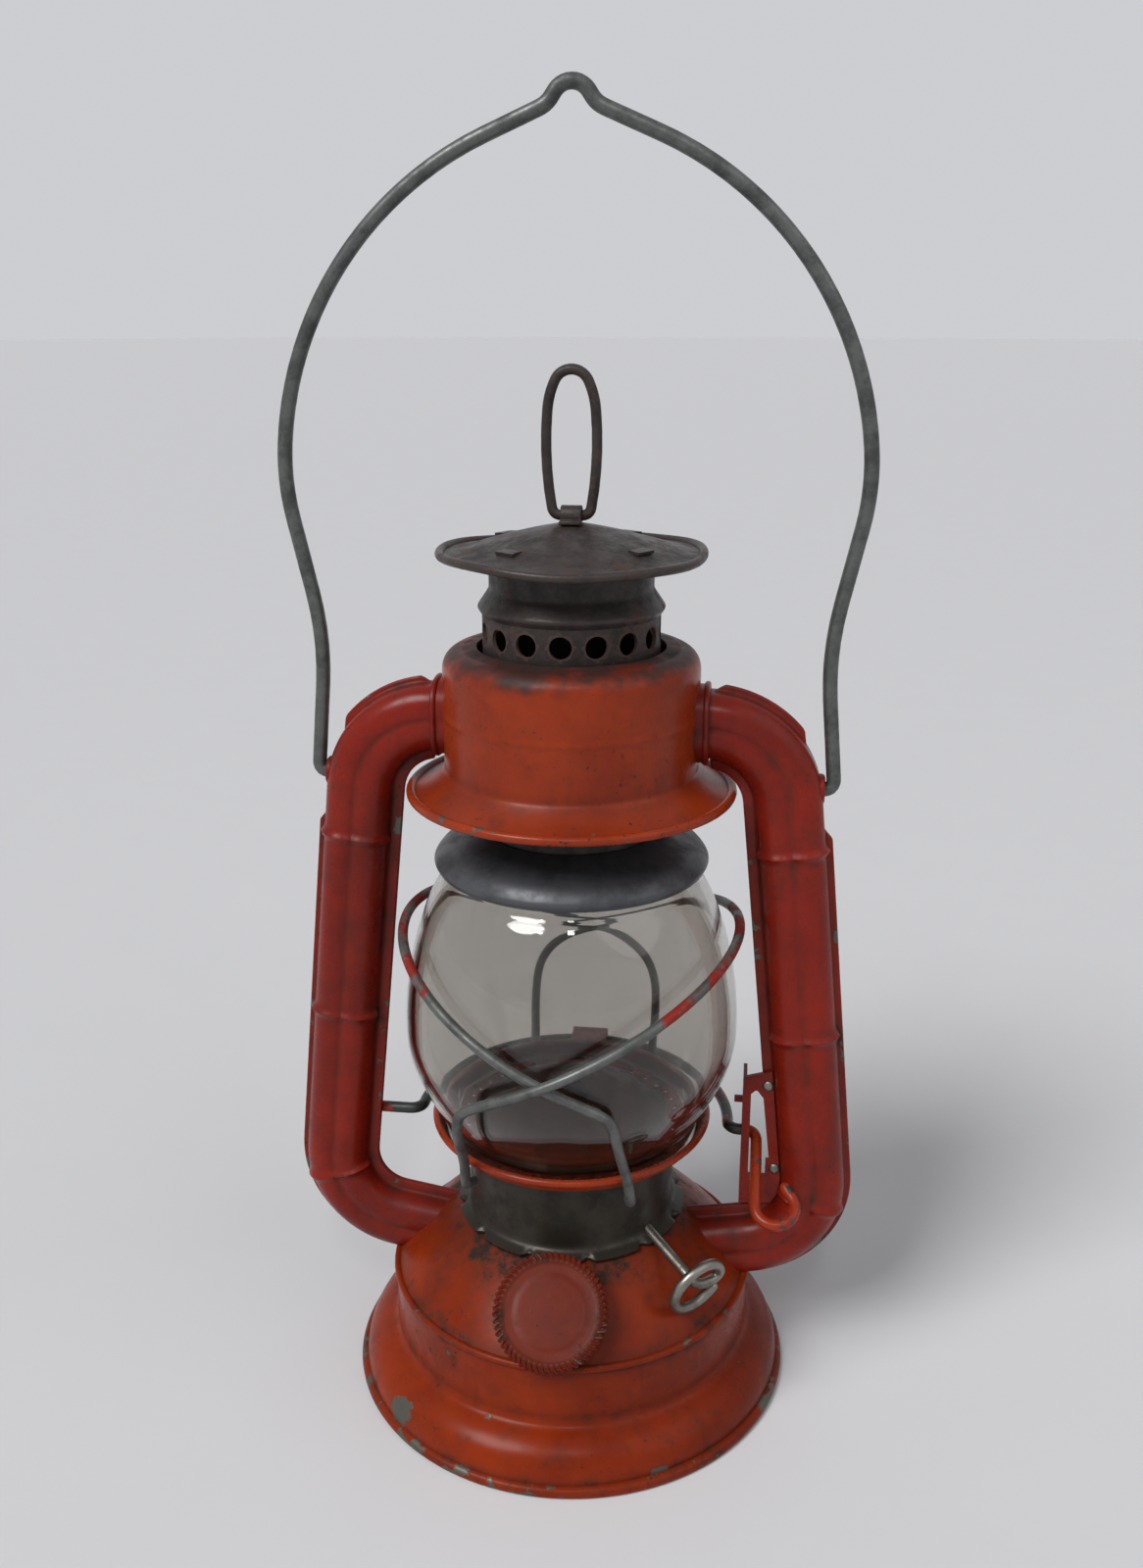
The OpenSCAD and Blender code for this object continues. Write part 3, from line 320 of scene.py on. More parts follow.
def surface(points, round_rows=False, round_columns=False, capped=False, wear=0.0, grime=0.0):
    """Quads over a grid of points whose rows or columns may close on themselves, with caps on the first
    and the last row, turned outwards by the sign of the volume that they enclose."""
    rows, columns = points.shape[:2]
    index = np.arange(rows * columns).reshape(rows, columns)
    here = index if round_rows else index[:-1]
    there = np.roll(index, -1, 0) if round_rows else index[1:]
    if round_columns:
        corners = [here, there, np.roll(there, -1, 1), np.roll(here, -1, 1)]
    else:
        corners = [here[:, :-1], there[:, :-1], there[:, 1:], here[:, 1:]]
    faces = [np.stack(corners, -1).reshape(-1, 4)]
    if capped:
        faces += [index[:1], index[-1:, ::-1]]
    flat = points.reshape(-1, 3)
    if enclosed(flat, faces) < 0:
        faces = [f[:, ::-1] for f in faces]
    spread = [np.broadcast_to(np.asarray(a, float), (rows, columns)).ravel() for a in (wear, grime)]
    return Part(flat, faces, *spread)


def turned(outline, segments=SEGMENTS, wear=0.0, grime=0.0, shift=None):
    """A closed outline of (radius, height) turned round the axis: its point j at the angle i of a full
    turn. shift(angle, radius, height) may add to the radius and the height."""
    angle = full_turn(segments)[:, None]
    r, z = np.broadcast_arrays(outline[:, 0] + 0 * angle, outline[:, 1] + 0 * angle)
    if shift:
        more_r, more_z = shift(angle, r, z)
        r, z = r + more_r, z + more_z
    return surface(about_axis(r, angle, z), True, True, wear=wear, grime=grime)


def bead(r, z, d, segments=SEGMENTS, wear=0.0, grime=0.0, floor=None, shift=None):
    """A round bead of diameter d turned round the axis, cut flat at a floor."""
    outline = np.array([r, z]) + d / 2 * circle(20)
    if floor is not None:
        outline[:, 1] = np.maximum(outline[:, 1], floor)
    return turned(outline, segments, wear, grime, shift)


def carried(path, section, across, closed=False, **looks):
    """A section of (side, up) points carried along a path. Up is the across direction made square to
    the way ahead, and side is square to both. The section may differ from row to row."""
    if closed:
        ahead = unit(np.roll(path, -1, 0) - np.roll(path, 1, 0))
    else:
        ahead = unit(np.gradient(path, axis=0))
    up = unit(across - (across * ahead).sum(1, keepdims=True) * ahead)
    side = np.cross(ahead, up)
    section = np.broadcast_to(section, (len(path),) + section.shape[-2:])
    points = path[:, None] + section[..., :1] * side[:, None] + section[..., 1:] * up[:, None]
    return surface(points, closed, True, capped=not closed, **looks)


def wire(path, d, across, sides=18, closed=False, **looks):
    """A round wire along a path: a circle carried along it, which closes in a half round at open ends."""
    section = d / 2 * circle(sides)
    if closed:
        return carried(path, section, across, True, **looks)
    first, last = unit(path[0] - path[1]), unit(path[-1] - path[-2])
    caps = d / 2 * np.sin(END_SWING)[:, None]
    path = np.vstack([path[0] + (caps * first)[::-1], path, path[-1] + caps * last])
    fall = np.cos(END_SWING)
    share = np.concatenate([fall[::-1], np.ones(len(path) - 2 * len(fall)), fall])
    return carried(path, section * share[:, None, None], across, False, **looks)


def with_ends(path):
    """The path's points, its first and last one repeated for the rows of a wire's half round ends."""
    more = len(END_SWING)
    return path[np.clip(np.arange(-more, len(path) + more), 0, len(path) - 1)]


def holed_band(count, hole_r, half, thick, place, sides=8, rows=3):
    """A band of squares with a round hole in each. Rows of points run from the square's edge to the hole
    on the outer face and back on the inner one; place(u, v, depth, i) sets them on the piece."""
    t = np.linspace(-1, 1, sides, endpoint=False)
    one = np.ones(sides)
    edge = np.concatenate([
        np.stack([t, -one], 1), np.stack([one, t], 1), np.stack([-t, one], 1), np.stack([-one, -t], 1),
    ])
    angle = np.arctan2(edge[:, 1], edge[:, 0])
    hole = hole_r * np.stack([np.cos(angle), np.sin(angle)], 1)
    s = np.linspace(0, 1, rows + 1)[:, None, None]
    face = edge * np.array(half) * (1 - s) + hole * s
    flat = np.concatenate([face, face[::-1]])
    depth = np.repeat([0.0, thick], rows + 1)[:, None]
    near = np.linalg.norm(flat, axis=2) < hole_r * 1.2
    found = []
    for i in range(count):
        points = place(flat[..., 0], flat[..., 1], depth, i)
        part = surface(points, round_columns=True)
        a, b, c, _ = part.points[part.faces[0][0]]
        out = points[0, 0] - points[-1, 0]
        turn = np.dot(np.cross(b - a, c - a), out) < 0
        faces = [f[:, ::-1] for f in part.faces] if turn else part.faces
        found.append(part._replace(faces=faces, grime=near.ravel() * 0.8))
    return found


def placed(part, matrix):
    """A part turned and moved by a matrix in millimetres."""
    m = np.array(matrix)
    return part._replace(points=part.points @ m[:3, :3].T + m[:3, 3])


def mirrored(part):
    """A part on the other side of the lantern, with its faces turned to point outwards again."""
    return part._replace(points=part.points * [-1, 1, 1], faces=[f[:, ::-1] for f in part.faces])


def bell(x, middle, width):
    """A smooth hump of height 1 at the middle that falls off over the width."""
    return np.exp(-(((x - middle) / width) ** 2))


def add_piece(name, parts, body, nodes, slot, sharp=38.0, look=None):
    """One object from its parts, welded, smooth but for its sharp edges, riding on its body."""
    points = np.vstack([p.points for p in parts]) * MM
    starts = np.concatenate([[0], np.cumsum([len(p.points) for p in parts])])
    faces = [f + s for p, s in zip(parts, starts) for f in p.faces]
    corners = np.concatenate([f.ravel() for f in faces]).astype(np.int32)
    sizes = np.concatenate([np.full(len(f), f.shape[1]) for f in faces])
    first = np.concatenate([[0], np.cumsum(sizes)[:-1]]).astype(np.int32)
    mesh = bpy.data.meshes.new(name)
    mesh.vertices.add(len(points))
    mesh.vertices.foreach_set("co", points.astype(np.float32).ravel())
    mesh.loops.add(len(corners))
    mesh.loops.foreach_set("vertex_index", corners)
    mesh.polygons.add(len(sizes))
    mesh.polygons.foreach_set("loop_start", first)
    mesh.update(calc_edges=True)
    # The grime mask holds dirt and soot, painted shade in creases on enamel, rust in hollows on metal, and
    # paint on the guard wires.
    for looks in ("wear", "grime"):
        values = np.concatenate([getattr(p, looks) for p in parts]).astype(np.float32)
        mesh.attributes.new(looks, "FLOAT", "POINT").data.foreach_set("value", values)
    return put_on(name, mesh, body, nodes, slot, sharp, look)


def put_on(name, mesh, body, nodes, slot, sharp, look=None):
    """Welds a mesh, gives it its finish and sets it on the frame in the place of its nodes."""
    welded = bmesh.new()
    welded.from_mesh(mesh)
    bmesh.ops.remove_doubles(welded, verts=welded.verts, dist=WELD)
    bmesh.ops.dissolve_degenerate(welded, edges=welded.edges, dist=SLIVER)
    welded.to_mesh(mesh)
    welded.free()
    mesh.shade_smooth()
    mesh.set_sharp_from_angle(angle=math.radians(sharp))
    mesh.materials.clear()
    mesh.materials.append(finish(look or slot))
    piece = bpy.data.objects.new(name, mesh)
    bpy.context.scene.collection.objects.link(piece)
    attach(piece, body)
    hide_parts(*nodes)
    return piece


def eased_copy(name, node, body, slot, width):
    """A copy of a CAD node with its doubles merged, its flat faces joined and its edges eased."""
    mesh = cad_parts[node].data.copy()
    mesh.name = name
    flat = bmesh.new()
    flat.from_mesh(mesh)
    bmesh.ops.remove_doubles(flat, verts=flat.verts, dist=MERGE)
    bmesh.ops.dissolve_limit(flat, angle_limit=math.radians(1), verts=flat.verts, edges=flat.edges)
    flat.to_mesh(mesh)
    flat.free()
    piece = put_on(name, mesh, body, [node], slot, 30.0)
    ease = piece.modifiers.new("eased edges", "BEVEL")
    ease.width = width * MM
    ease.segments = 2
    ease.limit_method = "ANGLE"
    return piece


# Properties


def colour_property(name, description, default):
    return bpy.props.FloatVectorProperty(
        name=name, description=description, subtype="COLOR", size=3, min=0.0, max=1.0, default=default,
    )


class LanternColours(bpy.types.PropertyGroup):
    """Colours of the lantern's finishes"""

    red: colour_property("Tube enamel", "Enamel of the air tubes", (0.25, 0.014, 0.005))
    red_deep: colour_property("Tube enamel, dark", "Worn and dirty tube enamel", (0.125, 0.008, 0.004))
    orange: colour_property("Hood enamel", "Enamel of the hood", (0.31, 0.034, 0.006))
    orange_deep: colour_property("Hood enamel, dark", "Dirty hood enamel", (0.20, 0.020, 0.004))
    # The fount's enamel is the hood's orange enamel made darker, partly for dirt and partly as painted shade
    # for the shade that lies on the lantern's base.
    fount: colour_property("Fount enamel", "Enamel of the fount", (0.26, 0.026, 0.003))
    fount_deep: colour_property("Fount enamel, dark", "Dirty fount enamel", (0.145, 0.0135, 0.0025))
    cap: colour_property("Cap enamel", "Faded enamel of the filler cap", (0.165, 0.022, 0.010))
    cap_deep: colour_property("Cap enamel, dark", "Dirty enamel of the filler cap", (0.09, 0.012, 0.006))
    bare: colour_property("Bare sheet", "Metal where the enamel is chipped", (0.11, 0.105, 0.085))
    # A dark colour for dirt streaks and specks, and for the painted shade in creases.
    dirt: colour_property("Dirt", "Oily dirt in creases", (0.025, 0.016, 0.012))
    soot: colour_property("Soot", "Soot on the chimney, the hood and the wick", (0.02, 0.0165, 0.015))
    zinc: colour_property("Zinc", "Zinc on the wires", (0.115, 0.122, 0.114))
    zinc_dull: colour_property("Dull zinc", "Weathered zinc on the wires", (0.05, 0.055, 0.051))
    tin: colour_property("Dark tin", "Tin of the burner collar and the burner body", (0.021, 0.018, 0.0135))
    glass: colour_property("Glass", "Tint of the globe", (0.66, 0.635, 0.595))
    floor: colour_property("Floor", "Pale floor under the lantern", (0.72, 0.72, 0.735))


def length_property(name, description, default):
    return bpy.props.FloatProperty(name=name, description=description, default=default, unit="LENGTH")


class LanternSizes(bpy.types.PropertyGroup):
    """Sizes of the lantern's fine forms"""

    tube_bead: length_property("Tube bead", "Height of the beads across the air tubes", 0.0009)
    cap_lumps: bpy.props.IntProperty(
        name="Cap lumps", description="Number of lumps in the rope rim of the filler cap", default=56,
    )
    lump: length_property("Lump", "Depth of the rope rim of the filler cap", 0.00042)
    dent: length_property("Dent", "How far thin sheet is out of true", 0.0003)


def colour(name, share=1.0):
    """A share of one of the lantern's colours, or of a plain colour, with full alpha."""
    plain = getattr(bpy.context.scene.lantern_colours, name) if isinstance(name, str) else name
    return (*(share * c for c in plain), 1.0)


def size(name):
    """A size of the lantern, in millimetres."""
    return getattr(bpy.context.scene.lantern_sizes, name) / MM


# Materials


class Bench:
    """Lays nodes in a tree. A value given to a socket is set on it, and another socket is linked."""

    def __init__(self, tree):
        self.tree = tree

    def put(self, socket, value):
        if isinstance(value, bpy.types.NodeSocket):
            self.tree.links.new(value, socket)
        else:
            socket.default_value = value

    def add(self, kind, inputs=None, **settings):
        made = self.tree.nodes.new(kind)
        for name, value in settings.items():
            setattr(made, name, value)
        for name, value in (inputs or {}).items():
            self.put(made.inputs[name], value)
        return made

    def noise(self, vector, scale, detail=4.0, rough=0.55):
        inputs = {"Vector": vector, "Scale": scale, "Detail": detail, "Roughness": rough}
        return self.add("ShaderNodeTexNoise", inputs).outputs[0]

    def math(self, operation, a, b, clamp=False):
        return self.add("ShaderNodeMath", {0: a, 1: b}, operation=operation, use_clamp=clamp).outputs[0]

    def plus(self, a, b, clamp=False):
        return self.math("ADD", a, b, clamp)

    def times(self, a, b, clamp=False):
        return self.math("MULTIPLY", a, b, clamp)

    def step(self, value, low, high):
        """0 below low, 1 above high and a smooth rise between."""
        inputs = {"Value": value, "From Min": low, "From Max": high}
        return self.add("ShaderNodeMapRange", inputs, interpolation_type="SMOOTHSTEP").outputs[0]

    def mix(self, share, a, b):
        return self.add("ShaderNodeMix", {0: share, 6: a, 7: b}, data_type="RGBA").outputs[2]

    def shared(self, name, **inputs):
        """Outputs of a shared node group, which is made at its first use."""
        tree = bpy.data.node_groups.get(name) or GROUPS[name](name)
        return self.add("ShaderNodeGroup", inputs, node_tree=tree).outputs


class Coat(Bench):
    """A material's bench, with its Principled shader, its Object coordinates and its two masks."""

    def __init__(self, name):
        self.made = bpy.data.materials.new(f"{name}_finish")
        self.made.use_nodes = True
        super().__init__(self.made.node_tree)
        self.tree.nodes.clear()
        self.shader = self.add("ShaderNodeBsdfPrincipled")
        self.add("ShaderNodeOutputMaterial", {"Surface": self.shader.outputs[0]})
        self.where = self.add("ShaderNodeTexCoord").outputs["Object"]
        self.wear = self.add("ShaderNodeAttribute", attribute_name="wear").outputs["Fac"]
        self.grime = self.add("ShaderNodeAttribute", attribute_name="grime").outputs["Fac"]

    def set(self, **values):
        """Fills the shader's sockets; a low line in a word stands for a space."""
        for word, value in values.items():
            self.put(self.shader.inputs[word.replace("_", " ")], value)

    def bumped(self, height, strength, depth):
        """The material, with a bump of a depth in millimetres."""
        inputs = {"Strength": strength, "Distance": depth * MM, "Height": height}
        self.set(Normal=self.add("ShaderNodeBump", inputs).outputs[0])
        return self.made


def group(name, inputs, outputs):
    """An empty node group with its sockets; returns its bench, its inputs and a function that ends it."""
    tree = bpy.data.node_groups.new(name, "ShaderNodeTree")
    kinds = {"v": "NodeSocketVector", "c": "NodeSocketColor", "f": "NodeSocketFloat"}
    for way, sockets in (("INPUT", inputs), ("OUTPUT", outputs)):
        for word, kind in sockets.items():
            tree.interface.new_socket(word, in_out=way, socket_type=kinds[kind])
    bench = Bench(tree)
    given = tree.nodes.new("NodeGroupInput").outputs
    out = tree.nodes.new("NodeGroupOutput")

    def end(**values):
        for word, value in values.items():
            bench.put(out.inputs[word], value)
        return tree

    return bench, given, end


def enamel_group(name):
    """Enamel that shifts between a light and a deep tone, with oily dirt in downward streaks, painted shade
    mixed with dirt in creases, chips to the bare sheet at edges, and black specks."""
    bench, given, end = group(
        name,
        {"Vector": "v", "Light": "c", "Deep": "c", "Bare": "c", "Dirt": "c", "Edge": "f", "Crease": "f",
         "Wear": "f", "Grime": "f", "Specks": "f"},
        {"Colour": "c", "Roughness": "f", "Metallic": "f", "Height": "f"},
    )
    v = given["Vector"]
    tone = bench.step(bench.noise(v, 30.0, 7.0, 0.68), 0.34, 0.74)
    fine = bench.noise(v, 460.0, 3.0)
    coat = bench.mix(tone, given["Light"], given["Deep"])
    drawn = bench.add("ShaderNodeVectorMath", {0: v, 1: (1.0, 1.0, 0.10)}, operation="MULTIPLY").outputs[0]
    streak = bench.step(bench.noise(drawn, 260.0, 6.0, 0.65), 0.54, 0.80)
    film = bench.step(bench.noise(v, 90.0, 8.0, 0.72), 0.46, 0.80)
    # Painted shade with dirt: the Crease mask darkens creases and recesses towards the dirt colour.
    crease = bench.times(given["Crease"], bench.plus(film, 0.35))
    dirt = bench.times(bench.math("MAXIMUM", streak, film), given["Grime"])
    dirt = bench.plus(dirt, crease, True)
    coat = bench.mix(dirt, coat, given["Dirt"])
    chip = bench.plus(bench.noise(v, 150.0, 8.0, 0.62), bench.times(given["Edge"], 0.30))
    worn = bench.step(bench.plus(chip, given["Wear"]), 0.70, 0.735)
    coat = bench.mix(worn, coat, given["Bare"])
    speck = bench.step(bench.noise(v, 800.0, 3.0), 0.63, 0.70)
    patch = bench.step(bench.noise(v, 45.0, 4.0), 0.40, 0.66)
    speck = bench.times(bench.times(speck, patch), given["Specks"])
    coat = bench.mix(speck, coat, given["Dirt"])
    rough = bench.plus(0.19, bench.times(dirt, 0.4))
    rough = bench.plus(rough, bench.times(fine, 0.14))
    rough = bench.plus(rough, bench.times(worn, 0.12), True)
    height = bench.math("SUBTRACT", bench.times(fine, 0.2), worn)
    height = bench.plus(height, bench.times(speck, 0.5))
    return end(Colour=coat, Roughness=rough, Metallic=bench.times(worn, 0.6), Height=height)


def soot_group(name):
    """Soot that lies over a colour more and more from one height to another, broken up by noise."""
    bench, given, end = group(
        name, {"Vector": "v", "Colour": "c", "Soot": "c", "From": "f", "To": "f", "Amount": "f"},
        {"Colour": "c", "Mask": "f"},
    )
    v = given["Vector"]
    lift = bench.times(bench.math("SUBTRACT", bench.noise(v, 95.0, 6.0, 0.65), 0.5), 0.016)
    height = bench.add("ShaderNodeSeparateXYZ", {0: v}).outputs[2]
    mask = bench.step(bench.plus(height, lift), given["From"], given["To"])
    mask = bench.times(mask, given["Amount"], True)
    return end(Colour=bench.mix(mask, given["Colour"], given["Soot"]), Mask=mask)


def tarnish_group(name):
    """Metal that goes from clean to dull in blotches, with rust in patches and on worn edges the clean
    metal again."""
    bench, given, end = group(
        name,
        {"Vector": "v", "Clean": "c", "Dull": "c", "Rust": "c", "Edge": "f", "Crease": "f", "Rusty": "f"},
        {"Colour": "c", "Roughness": "f", "Height": "f"},
    )
    v = given["Vector"]
    blotch = bench.step(bench.noise(v, 150.0, 8.0, 0.72), 0.38, 0.66)
    fine = bench.noise(v, 800.0, 4.0)
    blotch = bench.math("SUBTRACT", blotch, bench.times(given["Edge"], 0.8), True)
    coat = bench.mix(blotch, given["Clean"], given["Dull"])
    grown = bench.plus(given["Rusty"], bench.times(given["Crease"], 0.4))
    rust = bench.step(bench.plus(bench.noise(v, 110.0, 8.0, 0.7), grown), 0.62, 0.72)
    coat = bench.mix(rust, coat, given["Rust"])
    rough = bench.plus(0.30, bench.times(blotch, 0.22))
    rough = bench.plus(rough, bench.times(rust, 0.25))
    rough = bench.plus(rough, bench.times(fine, 0.1), True)
    return end(Colour=coat, Roughness=rough, Height=bench.plus(fine, rust))


GROUPS = {"worn enamel": enamel_group, "soot": soot_group, "tarnish": tarnish_group}


def enamel(name, light, deep, wear, grime, specks, gloss, bare="bare", soot=None):
    """Worn enamel, with soot that thickens between two heights where they are given."""
    coat = Coat(name)
    worn = coat.shared(
        "worn enamel", Vector=coat.where, Light=colour(light), Deep=colour(deep), Bare=colour(bare),
        Dirt=colour("dirt"), Edge=coat.wear, Crease=coat.grime, Wear=wear, Grime=grime, Specks=specks,
    )
    paint, rough = worn["Colour"], worn["Roughness"]
    if soot:
        low, high, amount = soot
        layer = coat.shared(
            "soot", Vector=coat.where, Colour=paint, Soot=colour("soot"), From=low * MM, To=high * MM,
            Amount=amount,
        )
        paint = layer["Colour"]
        rough = coat.plus(rough, coat.times(layer["Mask"], 0.25), True)
    coat.set(Base_Color=paint, Roughness=rough, Metallic=worn["Metallic"], Specular_IOR_Level=gloss)
    return coat.bumped(worn["Height"], 0.5, 0.12)


def metal(name, clean, dull, rust, rusty, metallic, depth=0.06, gloss=0.5):
    """Tarnished metal."""
    coat = Coat(name)
    old = coat.shared(
        "tarnish", Vector=coat.where, Clean=colour(clean), Dull=colour(dull), Rust=colour(rust),
        Edge=coat.wear, Crease=coat.grime, Rusty=rusty,
    )
    coat.set(
        Base_Color=old["Colour"], Roughness=old["Roughness"], Metallic=metallic, Specular_IOR_Level=gloss,
    )
    return coat.bumped(old["Height"], 0.4, depth)


def clear_glass(name):
    """Smoky glass whose tint thickens in soft clouds."""
    coat = Coat(name)
    cloud = coat.step(coat.noise(coat.where, 26.0, 4.0), 0.35, 0.8)
    coat.set(
        Base_Color=coat.mix(cloud, colour("glass"), colour("glass", 0.93)),
        Roughness=coat.times(coat.noise(coat.where, 60.0, 3.0), 0.05), IOR=1.47, Transmission_Weight=1.0,
    )
    return coat.made


def wick_cotton(name):
    """Woven cotton: two crossed waves for the threads, charred at the top."""
    coat = Coat(name)
    inputs = {"Vector": coat.where, "Scale": 420.0, "Distortion": 0.6}
    weave = coat.times(*(
        coat.add("ShaderNodeTexWave", inputs, bands_direction=turn).outputs["Fac"] for turn in ("X", "Z")
    ))
    cloth = coat.mix(weave, (0.42, 0.37, 0.28, 1.0), (0.66, 0.60, 0.48, 1.0))
    layer = coat.shared(
        "soot", Vector=coat.where, Colour=cloth, Soot=colour("soot"), From=CHAR_FROM * MM, To=CHAR_TO * MM,
        Amount=0.96,
    )
    coat.set(Base_Color=layer["Colour"], Roughness=coat.plus(0.8, coat.times(weave, 0.15)))
    return coat.bumped(weave, 0.6, 0.2)


def gasket_rubber(name):
    """Black rubber with a fine grain."""
    coat = Coat(name)
    grain = coat.noise(coat.where, 700.0, 3.0)
    coat.set(
        Base_Color=coat.mix(grain, (0.02, 0.02, 0.02, 1.0), (0.05, 0.048, 0.045, 1.0)),
        Roughness=coat.plus(0.6, coat.times(grain, 0.3)),
    )
    return coat.bumped(grain, 0.3, 0.05)


BROWN = (0.06, 0.032, 0.02)
ENAMEL_LOOKS = {
    "enamel_red": ("red", "red_deep", -0.045, 0.5, 0.8, 0.2),
    "enamel_orange": (
        "orange", "orange_deep", -0.035, 0.25, 0.95, 0.2, "bare", (HOOD_TOP - 5, HOOD_TOP + 0.5, 0.9),
    ),
    # The fount's and the dome's enamel: darker than the hood's, partly dirt and partly painted shade.
    "enamel_fount": ("fount", "fount_deep", -0.035, 0.62, 0.95, 0.12),
    "enamel_lever": ("orange", "red", 0.04, 0.25, 0.4, 0.28, "zinc_dull"),
    "enamel_cap": ("cap", "cap_deep", -0.08, 0.42, 0.8, 0.08),
}
METAL_LOOKS = {
    "tinplate": ((0.30, 0.29, 0.26), (0.13, 0.12, 0.10), BROWN, 0.0, 0.8),
    "dark_tin": ((0.037, 0.032, 0.024), "tin", (0.035, 0.024, 0.016), -0.04, 0.5, 0.06, 0.35),
    "bell_tin": ((0.058, 0.061, 0.068), (0.026, 0.028, 0.032), BROWN, -0.12, 0.1, 0.1),
    "sooty_steel": ((0.046, 0.035, 0.031), "soot", (0.07, 0.042, 0.034), 0.07, 0.1, 0.25, 0.25),
    "galvanised_wire": ("zinc", "zinc_dull", (0.06, 0.052, 0.04), -0.05, 0.5),
    "guard_wire": ("zinc", "zinc_dull", "red", -0.22, 0.35),
    "bright_steel": ((0.25, 0.235, 0.205), (0.105, 0.095, 0.078), BROWN, -0.02, 0.95),
    "burner_brass": (
        (0.06, 0.028, 0.018), (0.03, 0.014, 0.010), (0.045, 0.012, 0.008), 0.06, 0.15, 0.06, 0.12,
    ),
}
OTHER_LOOKS = {"clear_glass": clear_glass, "wick_cotton": wick_cotton, "gasket_rubber": gasket_rubber}


def finish(look):
    """The material of a look, made once. The frame's own flat materials hold the slots' plain names."""
    made = bpy.data.materials.get(f"{look}_finish")
    if made:
        return made
    if look in ENAMEL_LOOKS:
        return enamel(look, *ENAMEL_LOOKS[look])
    if look in METAL_LOOKS:
        return metal(look, *METAL_LOOKS[look])
    return OTHER_LOOKS[look](look)


# Pieces


def out_of_true(angle, r, z):
    """Low waves round thin sheet: two and three humps a turn, shifting with the height."""
    d = size("dent")
    return d * (np.sin(2 * angle + 0.06 * z) * 0.6 + np.sin(3 * angle + 1.3 - 0.05 * z) * 0.4), 0 * r


def fount():
    """The flared foot is a parabola from the rim to the wall, and the rim is a round bead."""
    rim = np.array([BASE_R - RIM_BEAD / 2, RIM_BEAD * 0.4])
    start, end = rim + [0, RIM_BEAD / 4], np.array([WALL_R + 1.9, FOOT_H - 1.2])
    path = joined(
        start, bow(start, end, 2.0), bow(end, [WALL_R + 0.3, FOOT_H + 0.8], -0.35, 6), [WALL_R, WALL_TOP],
    )
    outline = sheet(path)
    z = outline[:, 1]
    wear = bell(z, 2.5, 2.2) * 0.45 + bell(z, FOOT_H - 1, 1.2) * 0.25
    around = full_turn(SEGMENTS)[:, None]
    for turn, height, wide, tall in CHIPS:
        wear = wear + 1.3 * bell(around, math.radians(turn), wide) * bell(z, height, tall)
    # Darker just above the rim bead, under the seam bead and at the bend of the foot: painted shade in these
    # creases, with dirt.
    grime = bell(z, 2.9, 1.0) + bell(z, WALL_TOP, 1.2) * 0.9 + bell(z, FOOT_H + 1.4, 1.4) * 0.5
    parts = [turned(outline, wear=wear, grime=grime, shift=out_of_true)]
    parts.append(bead(*rim, RIM_BEAD, wear=0.68, grime=0.4, floor=0.0))
    add_piece("fount_shell", parts, "frame", ["fount_bowl"], "enamel_orange", look="enamel_fount")


def dome():
    """The dome is a parabola from the seam to its top land, with the seam bead at its foot."""
    start, land = [WALL_R, SEAM_Z], [DOME_LAND_R, DOME_Z]
    path = joined(start, bow(start, land, 1.0), [COLLAR_R - 2, DOME_TOP])
    outline = sheet(path)
    r, z = outline.T
    # Darker round the collar and just above the seam bead: dirt, with painted shade for the shade on the base
    # and in the crease by the bead.
    grime = bell(r, COLLAR_R + 2, 7.0) * 1.2 + bell(z, SEAM_Z + 1, 1.5) * 0.8
    parts = [turned(outline, grime=grime, wear=bell(z, SEAM_Z + 3, 3) * 0.2)]
    parts.append(bead(WALL_R, SEAM_Z, SEAM_BEAD, wear=0.45, grime=0.25))
    add_piece("dome_shell", parts, "frame", ["air_dome"], "enamel_orange", look="enamel_fount")


def collar():
    """The collar's flange is scalloped: its radius drops in a half round between its petals."""
    outline = sheet(joined(
        [COLLAR_R + 3, DOME_Z + 1.1], [COLLAR_R + 0.5, DOME_Z + 2.3], [COLLAR_R, DOME_Z + 3.4],
        [COLLAR_R, COLLAR_TOP - 1.6], [COLLAR_R - 1.4, COLLAR_TOP],
    ), 0.4, 0.8)

    def petals(angle, r, z):
        gap = np.abs((angle * PETALS / (2 * np.pi)) % 1 - 0.5) * 2 * np.pi * COLLAR_R / PETALS
        notch = np.sqrt(np.maximum(1 - (gap / 1.2) ** 2, 0)) * 1.6
        return -notch * np.clip((r - COLLAR_R - 0.9) / 2, 0, 1), 0 * r

    z = outline[:, 1]
    wear = bell(z, COLLAR_TOP - 1.5, 1.0) * 0.7 + bell(z, DOME_Z + 1.2, 0.8) * 0.8
    grime = bell(z, DOME_Z + 3.6, 1.2) * 0.5
    part = turned(outline, PETALS * 24, wear=wear, grime=grime, shift=petals)
    add_piece("collar_shell", [part], "frame", ["burner_collar"], "dark_tin")


